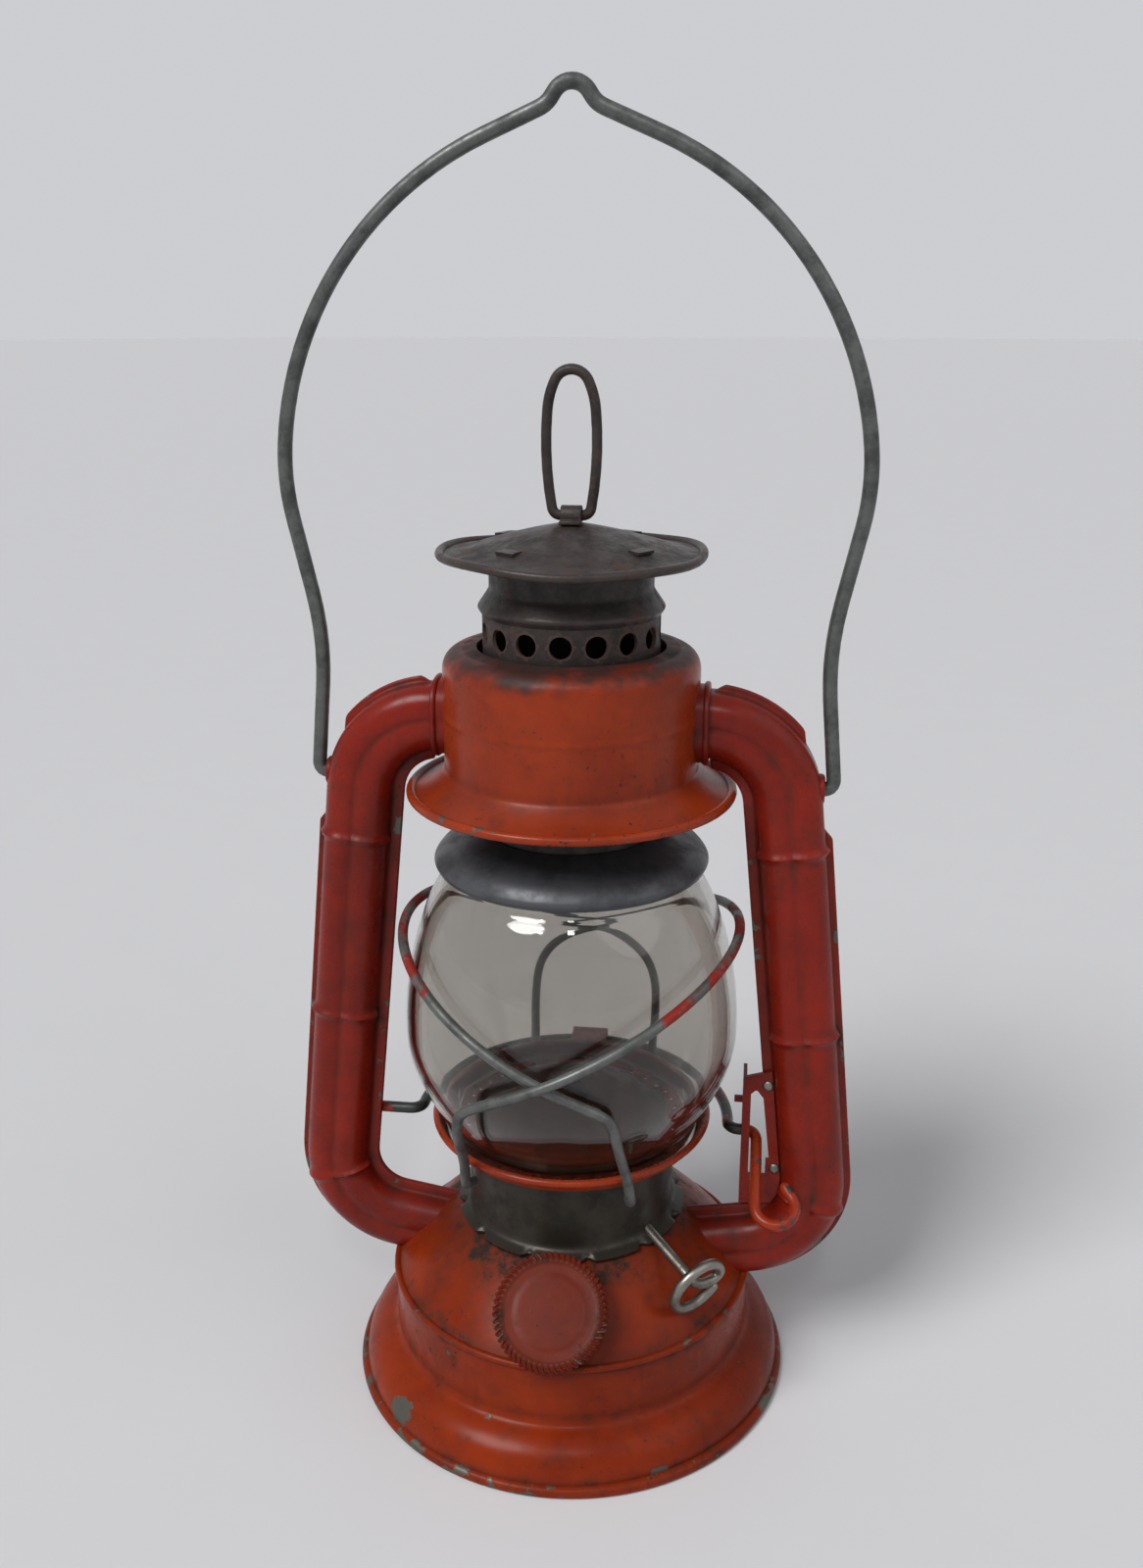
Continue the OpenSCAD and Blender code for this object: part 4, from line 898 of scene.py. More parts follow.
def hood():
    """The hood's profile: a rolled rim, a dished flange, an upright wall with a fine ridge, and a
    rounded shoulder that turns in to the chimney."""
    rim = np.array([HOOD_FLANGE_R - HOOD_RIM / 2, HOOD_Z + HOOD_RIM / 2])
    path = joined(
        rim, bow(rim, [HOOD_R, HOOD_Z + 6.2], -0.7), [HOOD_R, HOOD_Z + 18.6], [HOOD_R + 0.35, HOOD_Z + 19.3],
        [HOOD_R, HOOD_Z + 20], [HOOD_R, HOOD_TOP - 5],
        bow([HOOD_R, HOOD_TOP - 5], [HOOD_R - 3, HOOD_TOP - 0.6], 0.9), [HOOD_HOLE_R, HOOD_TOP],
    )
    outline = sheet(path, 0.5, 0.8)
    r, z = outline.T
    wear = bell(z, HOOD_Z + 19.3, 0.8) * 0.35 + bell(z, HOOD_Z + 1, 1.2) * 0.5
    # Darker where the flange meets the wall: painted shade in this crease, with dirt; the top round the
    # chimney and the flange are dirtier.
    grime = bell(z, HOOD_Z + 6.4, 1.6) * 0.4 + (r < HOOD_R - 4.5) * 0.8 + (r > HOOD_R + 1) * 0.3
    parts = [turned(outline, wear=wear, grime=grime), bead(*rim, HOOD_RIM, wear=0.5)]
    add_piece("hood_shell", parts, "frame", ["hood"], "enamel_orange")


def tube_section():
    """Half the tube's outline: the flange's rounded tip, a hollow into the outer lobe, the crease between
    the lobes, and the same to the inner flange. The other half is its mirror image."""

    def curve(p, c, q, steps=7):
        t = np.linspace(0, 1, steps)[:, None]
        return (1 - t) ** 2 * np.array(p) + 2 * t * (1 - t) * np.array(c) + t ** 2 * np.array(q)

    def lobe(angle):
        a = np.radians(angle)
        return np.stack([LOBE_OFF + LOBE_R * np.cos(a), LOBE_LIFT + LOBE_R * np.sin(a)], -1)

    def tip(width):
        a = np.radians(np.linspace(-80, 90, 7))
        end = TUBE_HALF_W + width
        groove = np.array([[end - 0.9, 0.0]])
        return np.vstack([groove, np.stack([end - 0.34 + 0.34 * np.cos(a), 0.46 + 0.34 * np.sin(a)], 1)])

    def side(width):
        root = curve([TUBE_HALF_W + 0.8, SHEET], [TUBE_HALF_W, SHEET], lobe(15))
        return np.vstack([tip(width), root, lobe(np.linspace(20, 104, 14))])

    crease = curve(lobe(107), [0, LOBE_LIFT + 4.78], lobe(107) * [-1, 1])
    half = np.vstack([side(FLANGE_OUT), crease, (side(FLANGE_IN) * [-1, 1])[::-1]])
    return np.vstack([half, half[-2:0:-1] * [1, -1]])


def tubes():
    """Each tube is its section carried down the elbow, the leg and the lower elbow. Beads across the leg
    and the elbows lift the lobes, and the flange fades out at the hood and round the bail's ear."""
    back = 12
    h = math.radians(back)
    start = (ELBOW_X - ELBOW_R * math.sin(h), TUBE_Z - ELBOW_R * (1 - math.cos(h)), back)
    top_z, low_z = ELBOW_Z + ELBOW_R * math.sin(LEG_LEAN), LOW_ELBOW_Z + LOW_ELBOW_R * math.sin(LEG_LEAN)
    lean, fall = math.degrees(LEG_LEAN), math.degrees(LOW_FALL)
    moves = [
        (ELBOW_R, lean - 90 - back), ((top_z - low_z) / math.cos(LEG_LEAN),),
        (LOW_ELBOW_R, -(90 - fall + lean)), (20,),
    ]
    flat = softened(bend_points(start, moves)[0], 0.6, 2.0)
    path = upright(flat)
    section = tube_section()
    run = run_along(flat)
    on_lobe = np.clip((np.abs(section[:, 1]) - SHEET) / 1.5, 0, 1)
    out = unit(section - np.sign(section) * [LOBE_OFF, LOBE_LIFT])
    lift = np.zeros(len(path))
    groove = np.zeros(len(path))
    down = np.arange(len(path)) > np.argmax(flat[:, 0] > ELBOW_X + 0.8 * ELBOW_R)
    for z in TUBE_BEADS:
        at = run[np.argmin(np.where(down, np.abs(flat[:, 1] - z), 1e3))]
        lift += bell(run, at, 0.95) * size("tube_bead")
        groove += bell(run, at, 2.4) - bell(run, at, 0.9)
    section = section + (lift[:, None] * on_lobe)[..., None] * out
    begun = np.clip((run - 5.0) / 1.5, 0, 1)
    ear = np.hypot(flat[:, 0] - EAR_OUT, flat[:, 1] - PIVOT_Z)
    clear = np.clip((ear - 12.5) / 2, 0, 1)
    across, up = section[..., 0], section[..., 1]
    share = np.where(across > 0, (begun * clear)[:, None], begun[:, None])
    limit = TUBE_HALF_W - 0.25 + share * (np.abs(across) - TUBE_HALF_W + 0.25)
    across = np.where(np.abs(across) > TUBE_HALF_W - 0.25, np.sign(across) * limit, across)
    section = np.stack([across, up], -1)
    flange = np.clip((np.abs(across) - TUBE_HALF_W) / 0.8, 0, 1)
    # Darker in the crease between the lobes, at the roots of the flanges and round the beads: painted shade
    # in these hollows, with dirt; the tube is also darker towards the bottom.
    crease = bell(across, 0, 0.9) * (np.abs(up) > 5) * 0.45
    root = bell(np.abs(across), TUBE_HALF_W + 0.3, 0.7) * (np.abs(up) < 2.4) * 0.8
    bottom = np.clip((40 - flat[:, 1]) / 8, 0, 1)[:, None] * 0.5
    grime = np.clip(crease + root + groove[:, None] * 0.30 + bottom, 0, 1)
    wear = np.clip(flange * 0.55 + lift[:, None] / size("tube_bead") * on_lobe * 0.25, 0, 1)
    right = carried(path, section, BACK, wear=wear, grime=grime)
    for name, part in (("right", right), ("left", mirrored(right))):
        nodes = [f"{name}_tube_front", f"{name}_tube_back"]
        add_piece(f"{name}_air_tube", [part], "frame", nodes, "enamel_red", sharp=50.0)


def lobed_outline(r, count=120):
    """Outline of the tube's four lobes at a lobe radius: the farthest circle in each direction, smoothed."""
    ray = circle(count)
    far = np.zeros(count)
    for centre in ([s * LOBE_OFF, t * LOBE_LIFT] for s in (-1, 1) for t in (-1, 1)):
        along = ray @ np.array(centre)
        far = np.maximum(far, along + np.sqrt(r * r - np.dot(centre, centre) + along ** 2))
    far = sum(np.roll(far, k) for k in range(-3, 4)) / 7
    return ray * far[:, None]


def ferrules():
    """A short socket round each tube at the hood, with a rolled bead on its mouth: the lobed outline
    swells and shrinks along the tube, outside and then back on the inside."""
    along = np.array([-2.2, 0.0, 0.9, 1.1, 1.5, 2.0, 2.3, 2.3, 1.8, 0.0, -2.2])
    more = np.array([0.9, 0.9, 0.9, 1.3, 1.5, 1.4, 1.0, 0.3, 0.0, 0.0, 0.0])
    rings = np.stack([lobed_outline(LOBE_R + 0.15 + m) for m in more])
    points = grid(HOOD_R + along[:, None], rings[..., 1], TUBE_Z + rings[..., 0])
    wear = np.clip(along[:, None] - 0.8, 0, 1) * 0.5
    right = surface(points, True, True, wear=wear, grime=0.35)
    add_piece("ferrules", [right, mirrored(right)], "frame", ["tube_ferrules"], "enamel_red")


def bail_fittings():
    """Ears are short collars turned about the bail's pivot; rivets are flat domes on the bracket."""
    r, length, bore = EAR_R, EAR_LEN, BAIL_D / 2 + 0.05
    outline = joined([bore, 0], [bore, length], [r - 0.5, length], [r, length - 0.5], [r, 0])
    outline = softened(outline, 0.2, 0.3, True)
    to_side = Matrix.Translation((EAR_OUT - length, 0, PIVOT_Z)) @ Matrix.Rotation(math.pi / 2, 4, "Y")
    ear = placed(turned(outline, 48, wear=0.4, grime=0.4), to_side)
    add_piece("bail_ear_collars", [ear, mirrored(ear)], "frame", ["bail_ears"], "enamel_red")
    low, high = reach("bracket_rivets")
    head_r, head, shank = 1.4, 0.7, 0.8
    a = np.radians(np.linspace(0, 90, 8))
    dome_line = np.stack([head_r * np.cos(a), head * np.sin(a)], 1)
    outline = joined(dome_line, [0, low[1] - high[1] + head], [shank, low[1] - high[1] + head], [shank, 0])
    heads = []
    for x, z in ((low[0] + head_r, high[2] - head_r), (high[0] - head_r, low[2] + head_r)):
        to_front = Matrix.Translation((x, low[1] + head, z)) @ Matrix.Rotation(math.pi / 2, 4, "X")
        heads.append(placed(turned(outline, 32, wear=0.5), to_front))
    add_piece("rivet_heads", heads, "frame", ["bracket_rivets"], "bright_steel")


def bail():
    """The bail is one wire: hook, waist, arch and a peak, mirrored to the other side."""
    lean, hook_r, inside = 5.5, 1.9, 3.6
    peak_r, kink_r, turn = 4.25, 5.4, 40
    shoulder = [(18.9,), (72, -17.5), (16.6,), (54, 18), (75.5, 61)]
    base = (EAR_OUT + 0.05 + hook_r, PIVOT_Z + hook_r, 90 + lean)
    points, heading = bend_points(base, shoulder)
    peak = [(kink_r, -turn), (peak_r, 180 - heading + turn)]
    kink, _ = bend_points((0, 0, heading), peak)
    flat_len = (points[-1][0] + kink[-1][0]) / -math.cos(math.radians(heading))
    moves = [(inside + EAR_LEN + 0.05,), (hook_r, 90 + lean), *shoulder, (flat_len,), *peak]
    half, _ = bend_points((EAR_OUT - EAR_LEN - inside, PIVOT_Z, 0), moves)
    half = half - [half[-1][0], 0]
    whole = softened(np.vstack([half, half[-2::-1] * [-1, 1]]), 0.8, 1.0)
    part = wire(upright(whole), BAIL_D, BACK)
    add_piece("bail_wire", [part], "bail", ["bail"], "galvanised_wire")


def leg_x(z):
    """Axis of a tube leg at a height."""
    top = ELBOW_X + ELBOW_R * math.cos(LEG_LEAN), ELBOW_Z + ELBOW_R * math.sin(LEG_LEAN)
    return top[0] + (top[1] - z) * math.tan(LEG_LEAN)


def crank():
    """The lift crank is one wire: a pin, a half round behind the globe plate, a pin and the thumb lever,
    which leaves the axis at a right angle, slopes down and closes in a loop."""
    sweep_r, bend_r, pin_in = 38.9, 3.0, 3.4
    pin_x = leg_x(CRANK_Z) - TUBE_HALF_W / math.cos(LEG_LEAN) + pin_in
    back, _ = bend_points((-pin_x, CRANK_Y, 0), [
        (pin_x - sweep_r - bend_r,), (bend_r, 90), (sweep_r, -180), (bend_r, 90),
    ])
    lever, _ = bend_points((LEVER_X, 0, 0), [(2.6, -90), (17,), (4.8, 215), (2.5,)])
    slope = math.radians(32)
    path = np.vstack([
        np.stack([back[:, 0], back[:, 1], CRANK_Z + 0 * back[:, 0]], 1),
        np.stack([
            lever[:, 0], CRANK_Y + lever[:, 1] * math.cos(slope), CRANK_Z + lever[:, 1] * math.sin(slope),
        ], 1),
    ])
    path = softened(path, 0.6, 0.8)
    bare = np.where(with_ends(path)[:, 0] < LEVER_X - 1, 1.0, 0.4)[:, None]
    part = wire(path, CRANK_D, np.array([0.0, -0.5, 1.0]), wear=bare)
    add_piece("lift_crank_wire", [part], "lift_crank", ["lift_crank"], "enamel_lever")


def globe_plate():
    """A flat ring with a row of small holes, an upturned lip with a beaded rim, and the tab that the
    crank lifts."""
    ring_r, band, fine = 27.0, 1.9, PLATE_HOLES * 8
    lip = np.array([PLATE_R - 0.9, PLATE_Z + 3])
    edge = sheet(joined([ring_r + band, PLATE_Z], [PLATE_R - 2.2, PLATE_Z], lip), 0.4, 0.7)
    inner = joined([21.0, PLATE_Z], [ring_r - band, PLATE_Z])
    floor_dirt = np.clip((PLATE_R - 1.8 - edge[:, 0]) / 0.8, 0.25, 1)
    parts = [turned(edge, fine, wear=0.15, grime=floor_dirt), bead(*lip, 1.8, 144, wear=0.3)]
    parts.append(turned(sheet(inner, 1.0, 0.5), fine, grime=1.0))

    def place(u, v, depth, i):
        angle = 2 * np.pi * i / PLATE_HOLES + u / ring_r
        return about_axis(ring_r + v, angle, PLATE_Z + SHEET - depth)

    vents = holed_band(PLATE_HOLES, 0.8, (np.pi * ring_r / PLATE_HOLES, band), SHEET, place)
    parts += [v._replace(grime=v.grime * 0 + 1.0) for v in vents]
    low, high = reach("globe_plate")
    tab = softened(joined(
        [PLATE_R - 6, PLATE_Z], [high[1] - SHEET / 2, PLATE_Z], [high[1] - SHEET / 2, low[2]],
    ), 0.4, 0.7)
    outline = sheet_outline(tab + [0, SHEET / 2], SHEET / 2)
    points = grid(tab_rows(5.0), outline[:, 0], outline[:, 1])
    parts.append(surface(points, False, True, capped=True, wear=0.3))
    add_piece("globe_plate_shell", parts, "globe_carrier", ["globe_plate"], "enamel_orange")


def cone():
    """The burner cone: rows run from the slot's rounded outline to the cone's circle and on to its rim;
    the inner face repeats them one sheet lower."""
    count, rows = 144, 20
    crown_r, rim_r, top = 9.4, 24.6, CONE_Z + 8.2
    angle = full_turn(count)
    s = np.linspace(0, 1, 8)[:, None]
    crown = squared_round(angle, half_w=7.3, half_t=2.4, power=6.0) * (1 - s) + crown_r * s
    crown_z = top - 1.1 * (crown / crown_r) ** 2
    side = bow([crown_r, CONE_Z + 7.1], [rim_r, CONE_Z], -1.2, rows)
    r = np.vstack([crown, np.broadcast_to(side[:, :1], (rows, count))])
    z = np.vstack([crown_z, np.broadcast_to(side[:, 1:], (rows, count))])
    r, z = np.vstack([r, r[::-1]]), np.vstack([z, np.maximum(z - SHEET, CONE_Z)[::-1]])
    points = about_axis(r, angle + WICK_TURN, z)
    part = surface(points, True, True, wear=0.1, grime=bell(r, 8, 5) * 0.5)
    add_piece("burner_cone_shell", [part], "globe_carrier", ["burner_cone"], "burner_brass")


def globe():
    """The globe's profile is an upright rim, a quarter wave out to its belly, a flattened quarter wave up
    to its shoulder, and the neck; the inner face is one glass thickness inside."""
    flatness = 0.65
    low = np.linspace(1, 0, 40)
    high = np.linspace(0, 1, 70)[1:]
    path = np.vstack([
        [[GLOBE_FOOT_R, GLOBE_Z]],
        np.stack([GLOBE_FOOT_R + (GLOBE_R - GLOBE_FOOT_R) * np.cos(np.pi / 2 * low),
                  GLOBE_Z + GLOBE_RIM + (GLOBE_BELLY - GLOBE_RIM) * (1 - low)], 1),
        np.stack([GLOBE_NECK_R + (GLOBE_R - GLOBE_NECK_R) * np.cos(np.pi / 2 * high) ** flatness,
                  GLOBE_Z + GLOBE_BELLY + (GLOBE_SHOULDER - GLOBE_BELLY) * high], 1),
        [[GLOBE_NECK_R, GLOBE_TOP]],
    ])
    outline = sheet_outline(softened(path, 0.7, 1.4), GLASS)
    add_piece("globe_glass", [turned(outline, 192)], "globe_carrier", ["globe"], "clear_glass", sharp=60.0)


def guard_path(r):
    """Points of a guard wire: a foot, a rise to the globe, a hoop whose height goes as a cosine round the
    globe, and the fall to the other foot. Its corners are cut three times, at a quarter and three quarters
    of each stretch."""
    first, last, peak = -20, 197, math.radians(95)
    foot_r, side_r = PLATE_R + GUARD_D / 2 + 0.3, GLOBE_R + 0.35

    def at(radius, turn, z):
        a = math.radians(turn)
        return [radius * math.sin(a), -radius * math.cos(a), PLATE_Z + z]

    a = np.radians(np.linspace(first, last, 13))
    hoop = np.stack([side_r * np.sin(a), -r * np.cos(a), PLATE_Z + 34.2 + 20 * np.cos(a - peak)], 1)
    path = joined(
        at(foot_r - 3.5, -35, -3.4), at(foot_r - 1, -34, -3.2), at(foot_r, -33, -0.8), at(foot_r + 1, -31, 5),
        at(r - 0.8, -25, 17), at(r, -23.5, 23), hoop,
        at(r, last + 6, 23), at(r - 2, last + 8, 12),
        at(foot_r + 0.6, last + 10, 4), at(foot_r, last + 11, -1),
    )
    for _ in range(3):
        cuts = np.stack([0.75 * path[:-1] + 0.25 * path[1:], 0.25 * path[:-1] + 0.75 * path[1:]], 1)
        path = np.vstack([path[:1], cuts.reshape(-1, 3), path[-1:]])
    return softened(path, 0.8, 0.8)


def guards():
    """Two guard wires that cross in front and behind, the left one outside the right one."""
    about = Matrix.Rotation(GUARD_TURN, 4, "Z")
    inner_r = GLOBE_R + GUARD_GAP
    for name, r in (("left", inner_r + GUARD_D + 0.15), ("right", inner_r)):
        path = guard_path(r)
        ends = with_ends(path)
        high = np.clip((ends[:, 2] - PLATE_Z - 36) / 12, 0, 1) * (ends[:, 1] < 20)
        dab = bell(np.linalg.norm(ends - DAB, axis=1), 0, 1.8) * 1.2
        paint = np.maximum(high, dab * (name == "left"))[:, None]
        part = wire(path, GUARD_D, unit(ends * [1, 1, 0.0]), grime=paint)
        part = placed(part if name == "left" else mirrored(part), about)
        nodes = [f"guard_wire_{name}"]
        add_piece(f"guard_{name}", [part], "globe_carrier", nodes, "galvanised_wire", look="guard_wire")


def retainer():
    """The bell over the globe's neck: a lip, a parabola up to the shoulder and a slope to the chimney."""
    r = GLOBE_NECK_R
    path = joined(
        [r + 2.2, GLOBE_TOP - 3.9], [r + 3, GLOBE_TOP - 2.4],
        bow([r + 3, GLOBE_TOP - 2.4], [r - 2.4, GLOBE_TOP + 2.2], 0.8), [CHIMNEY_R + 0.45, GLOBE_TOP + 5],
    )
    outline = sheet(path, 0.4, 0.9)
    z = outline[:, 1]
    wear = bell(z, GLOBE_TOP - 3.9, 0.9) * 0.9 + bell(z, GLOBE_TOP - 2.2, 1.0) * 0.4
    parts = [turned(outline, wear=wear)]
    add_piece("retainer_bell", parts, "chimney", ["globe_retainer"], "dark_tin", look="bell_tin")


def canopy_height(r):
    """Height of the canopy's straight slope over its crown."""
    mid_r, mid_z = CANOPY_MID
    return mid_z + (mid_r - r) * (CANOPY_TOP - mid_z) / (mid_r - 2)


def canopy():
    """A low cone with a flared brim, its rim bead a little out of true."""
    start = np.array([CANOPY_R - 0.7, CANOPY_Z + 1.0])
    path = joined(start, bow(start, CANOPY_MID, -0.3, 12), bow(CANOPY_MID, [2.0, CANOPY_TOP], 0.4))

    def droop(angle, r, z):
        share = np.clip((r - 12) / (CANOPY_R - 12), 0, 1) ** 2
        return 0 * r, size("dent") * 1.6 * share * (np.sin(2 * angle + 0.7) + 0.5 * np.sin(5 * angle) + 0.6)

    outline = sheet(path)
    wear = bell(outline[:, 0], CANOPY_R, 2.0) * 0.5
    parts = [turned(outline, wear=wear, shift=droop)]
    parts.append(bead(CANOPY_R - 1, CANOPY_Z + 1, 2.0, wear=0.7, shift=droop))
    add_piece("canopy_shell", parts, "chimney", ["canopy"], "sooty_steel")


def chimney():
    """A tube with a band of vent holes, a bead and a neck, and four tabs bent down on the canopy."""
    half, fine = np.pi * CHIMNEY_R / VENT_COUNT, VENT_COUNT * 8
    below = sheet(joined([CHIMNEY_R, CHIMNEY_LOW], [CHIMNEY_R, VENT_Z - half]), 2.0, 2.0)
    above = sheet(joined(
        [CHIMNEY_R, VENT_Z + half], [CHIMNEY_R, BEAD_Z - 1.6], [CHIMNEY_R + 1.1, BEAD_Z],
        [CHIMNEY_R, BEAD_Z + 1.6], [CHIMNEY_NECK_R, BEAD_Z + 4.0],
        [CHIMNEY_NECK_R, canopy_height(CHIMNEY_NECK_R) - 2 * SHEET],
    ), 0.3, 0.6)
    parts = [turned(below, fine), turned(above, fine, wear=bell(above[:, 1], BEAD_Z, 0.9) * 0.5)]

    def place(u, v, depth, i):
        angle = 2 * np.pi * i / VENT_COUNT + u / CHIMNEY_R
        return about_axis(CHIMNEY_R - depth, angle, VENT_Z + v)

    parts += holed_band(VENT_COUNT, VENT_R, (half, half), SHEET, place)
    r = CHIMNEY_NECK_R - 0.2
    top = canopy_height(r) + SHEET * 0.6
    slope = math.atan2(canopy_height(r) - canopy_height(r + 4), 4)
    lip_len = 3.2
    lip = [[r, top - 4], [r, top], [r + lip_len * math.cos(slope), top - lip_len * math.sin(slope) + 0.5]]
    outline = sheet_outline(softened(joined(*lip), 0.2, 0.5)[::-1], SHEET * 0.8)
    points = grid(outline[:, 0], tab_rows(2.5), outline[:, 1])
    tab = surface(points, False, True, capped=True, wear=0.4)
    parts += [placed(tab, Matrix.Rotation(math.radians(90 * i + 55), 4, "Z")) for i in range(4)]
    add_piece("chimney_pipe", parts, "chimney", ["chimney_tube"], "sooty_steel")


def lift_ring():
    """A closed wire: a straight bar, two tight corners, long sides that lean out and a round top."""
    moves = [(2.45,), (1.9, 80), (80, 15), (18, 20)]
    points, heading = bend_points((0, RING_Z, 0), moves)
    top_r = points[-1][0] / math.sin(math.radians(heading))
    half, _ = bend_points((0, RING_Z, 0), moves + [(top_r, 180 - heading)])
    flat = softened(np.vstack([half[:-1], half[:0:-1] * [-1, 1]]), 0.4, 0.5, True)
    part = wire(upright(flat), RING_D, BACK, closed=True)
    add_piece("lift_ring_wire", [part], "lift_ring", ["lift_ring"], "sooty_steel")


def wick_key():
    """The wick shaft is one wire that runs out along its axis, turns off at a right angle and goes once
    round in a ring."""
    ring, _ = bend_points((SHAFT_RING_R, 0, 90), [(SHAFT_RING_R, 330)], 4)
    ring = np.stack([0 * ring[:, 0], ring[:, 0], ring[:, 1]], 1)
    spoke = np.array([
        [-SHAFT_IN - SHAFT_LEN, 0, 0], [-1.5, 0, 0], [0, 1.2, 0], [0, SHAFT_RING_R - 1.2, -0.3],
    ])
    path = softened(np.vstack([spoke, ring[2:]]), 0.5, 1.0)
    about = Matrix.Rotation(WICK_TURN, 4, "Z")
    along = Matrix.Translation((0, SHAFT_OFF, SHAFT_Z)) @ Matrix.Rotation(SHAFT_TILT, 4, "Y")
    part = wire(path, SHAFT_RING_D - 0.1, np.array([1.0, 0.0, 1.0]), 20, wear=0.3)
    part = placed(part, about @ along @ Matrix.Translation((SHAFT_LEN, 0, 0)))
    add_piece("wick_key", [part], "wick_shaft", ["wick_shaft"], "bright_steel")


def wick():
    """A flat woven strip: a rounded rectangle carried upwards with a slight wave and a frayed top."""
    low, high = reach("wick")
    wave = 0.03
    a = full_turn(48)
    r = squared_round(a, half_w=4.8, half_t=0.9, power=5.0) - wave
    z = np.linspace(low[2], high[2], 90)[:, None]
    u, v = r * np.cos(a), r * np.sin(a) + wave * np.sin(z * 1.7)
    fray = np.where(z > high[2] - 0.4, -0.35 * np.abs(np.sin(9 * a)), 0)
    turn_x, turn_y = math.cos(WICK_TURN), math.sin(WICK_TURN)
    points = grid(u * turn_x - v * turn_y, u * turn_y + v * turn_x, z + fray)
    add_piece("wick_strip", [surface(points, False, True, capped=True)], "wick", ["wick"], "wick_cotton")


def filler_place():
    """Place where the filler's axis leaves the dome: the middle of the dome's parabola."""
    r, z = bow([WALL_R, SEAM_Z], [DOME_LAND_R, DOME_Z], 1.0, 2)[0]
    return np.array([0, -r, z])


def filler_cap():
    """The cap's profile is a skirt, a round rim, a dished face and a raised middle. The rim is roped: its
    radius goes as a cosine round the cap, slanted along the rim."""
    skirt, rim_at = CAP_R - 1.3, np.array([CAP_R - 1.35, CAP_H - 1.15])
    a = np.radians(np.linspace(-70, 100, 16))
    rim = rim_at + np.stack([np.cos(a), 1.15 * np.sin(a)], 1)
    path = softened(joined(
        [skirt, 0.0], [skirt, CAP_H - 2.4], rim, [CAP_R - 3.0, CAP_H - 0.75], [CAP_R * 0.64, CAP_H - 0.85],
        [CAP_R * 0.56, CAP_H - 0.7], [CAP_R * 0.2, CAP_H - 0.62], [0.0, CAP_H - 0.6],
    ), 0.22, 0.7)
    path[-1, 0] = 0.0
    outline = sheet_outline(path, 0.7)
    outline[:, 0] = np.maximum(outline[:, 0], 0.0)
    on_rim = np.clip(1.5 - np.abs(np.linalg.norm(outline - rim_at, axis=1) - 1.05) * 4, 0, 1)
    on_rim[len(path):] = 0
    slant = np.arctan2(outline[:, 1] - rim_at[1], outline[:, 0] - rim_at[0])
    lumps = bpy.context.scene.lantern_sizes.cap_lumps

    def twist(angle):
        return np.cos(lumps * angle + 1.6 * slant)

    def rope(angle, r, z):
        depth = size("lump") * on_rim * (twist(angle) - 1)
        return depth * np.cos(slant), depth * np.sin(slant)

    tips = on_rim * (0.45 + 0.4 * twist(full_turn(lumps * 8)[:, None]))
    r = outline[:, 0]
    # Darker inside the rope rim and at the step to the raised middle: painted shade in these creases, with
    # dirt.
    grime = bell(r, CAP_R - 2.6, 0.9) * 0.8 + bell(r, CAP_R * 0.62, 1.0) * 0.2
    part = turned(outline, lumps * 8, wear=tips, grime=grime, shift=rope)
    out = Matrix.Translation(filler_place()) @ Matrix.Rotation(math.pi / 2 - FILLER_TILT, 4, "X")
    part = placed(part, out @ Matrix.Translation((0, 0, CAP_LIFT)))
    add_piece("filler_cap_shell", [part], "filler_cap", ["filler_cap"], "enamel_cap")


def spring():
    """A helix of seven turns under the hood's top, in two halves. The lower half rises with the globe, on the
    globe carrier; the upper half stays on the frame."""
    low, high = reach("chimney_spring")
    d, turns = 1.6, 7
    r = high[0] - d / 2
    length = (high[2] - low[2]) / 2
    t = np.linspace(0, 1, turns * 48 + 1)
    a = 2 * np.pi * turns * t
    path = about_axis(r, a, low[2] + d / 2 + (high[2] - low[2] - d) * t)
    middle, middle_z = len(path) // 2, low[2] + length
    for name, run, body, joint, travel, top in (
        ("chimney_coil_low", path[:middle + 1], "globe_carrier", "chimney_lift", CHIMNEY_TRAVEL, middle_z),
        ("chimney_coil", path[middle:], "frame", "globe_lift", GLOBE_TRAVEL, high[2]),
    ):
        piece = add_piece(name, [wire(run, d, UP, 12)], body, ["chimney_spring"], "bright_steel")
        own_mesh(piece)


# Stage


def lay_floor():
    """A flat ring of quads from the middle out to the horizon."""
    r = np.array([0.0, 0.3, 1.0, FLOOR_R])[:, None] / MM
    part = surface(about_axis(r, full_turn(64), 0 * r), False, True)
    mesh = bpy.data.meshes.new("floor")
    mesh.from_pydata((part.points * MM).tolist(), [], part.faces[0][:, ::-1].tolist())
    coat = Coat("floor")
    grain = coat.noise(coat.where, 30.0, 4.0)
    coat.set(Base_Color=coat.mix(grain, colour("floor"), colour("floor", 0.97)), Roughness=0.7)
    mesh.materials.append(coat.made)
    floor = bpy.data.objects.new("floor", mesh)
    bpy.context.scene.collection.objects.link(floor)


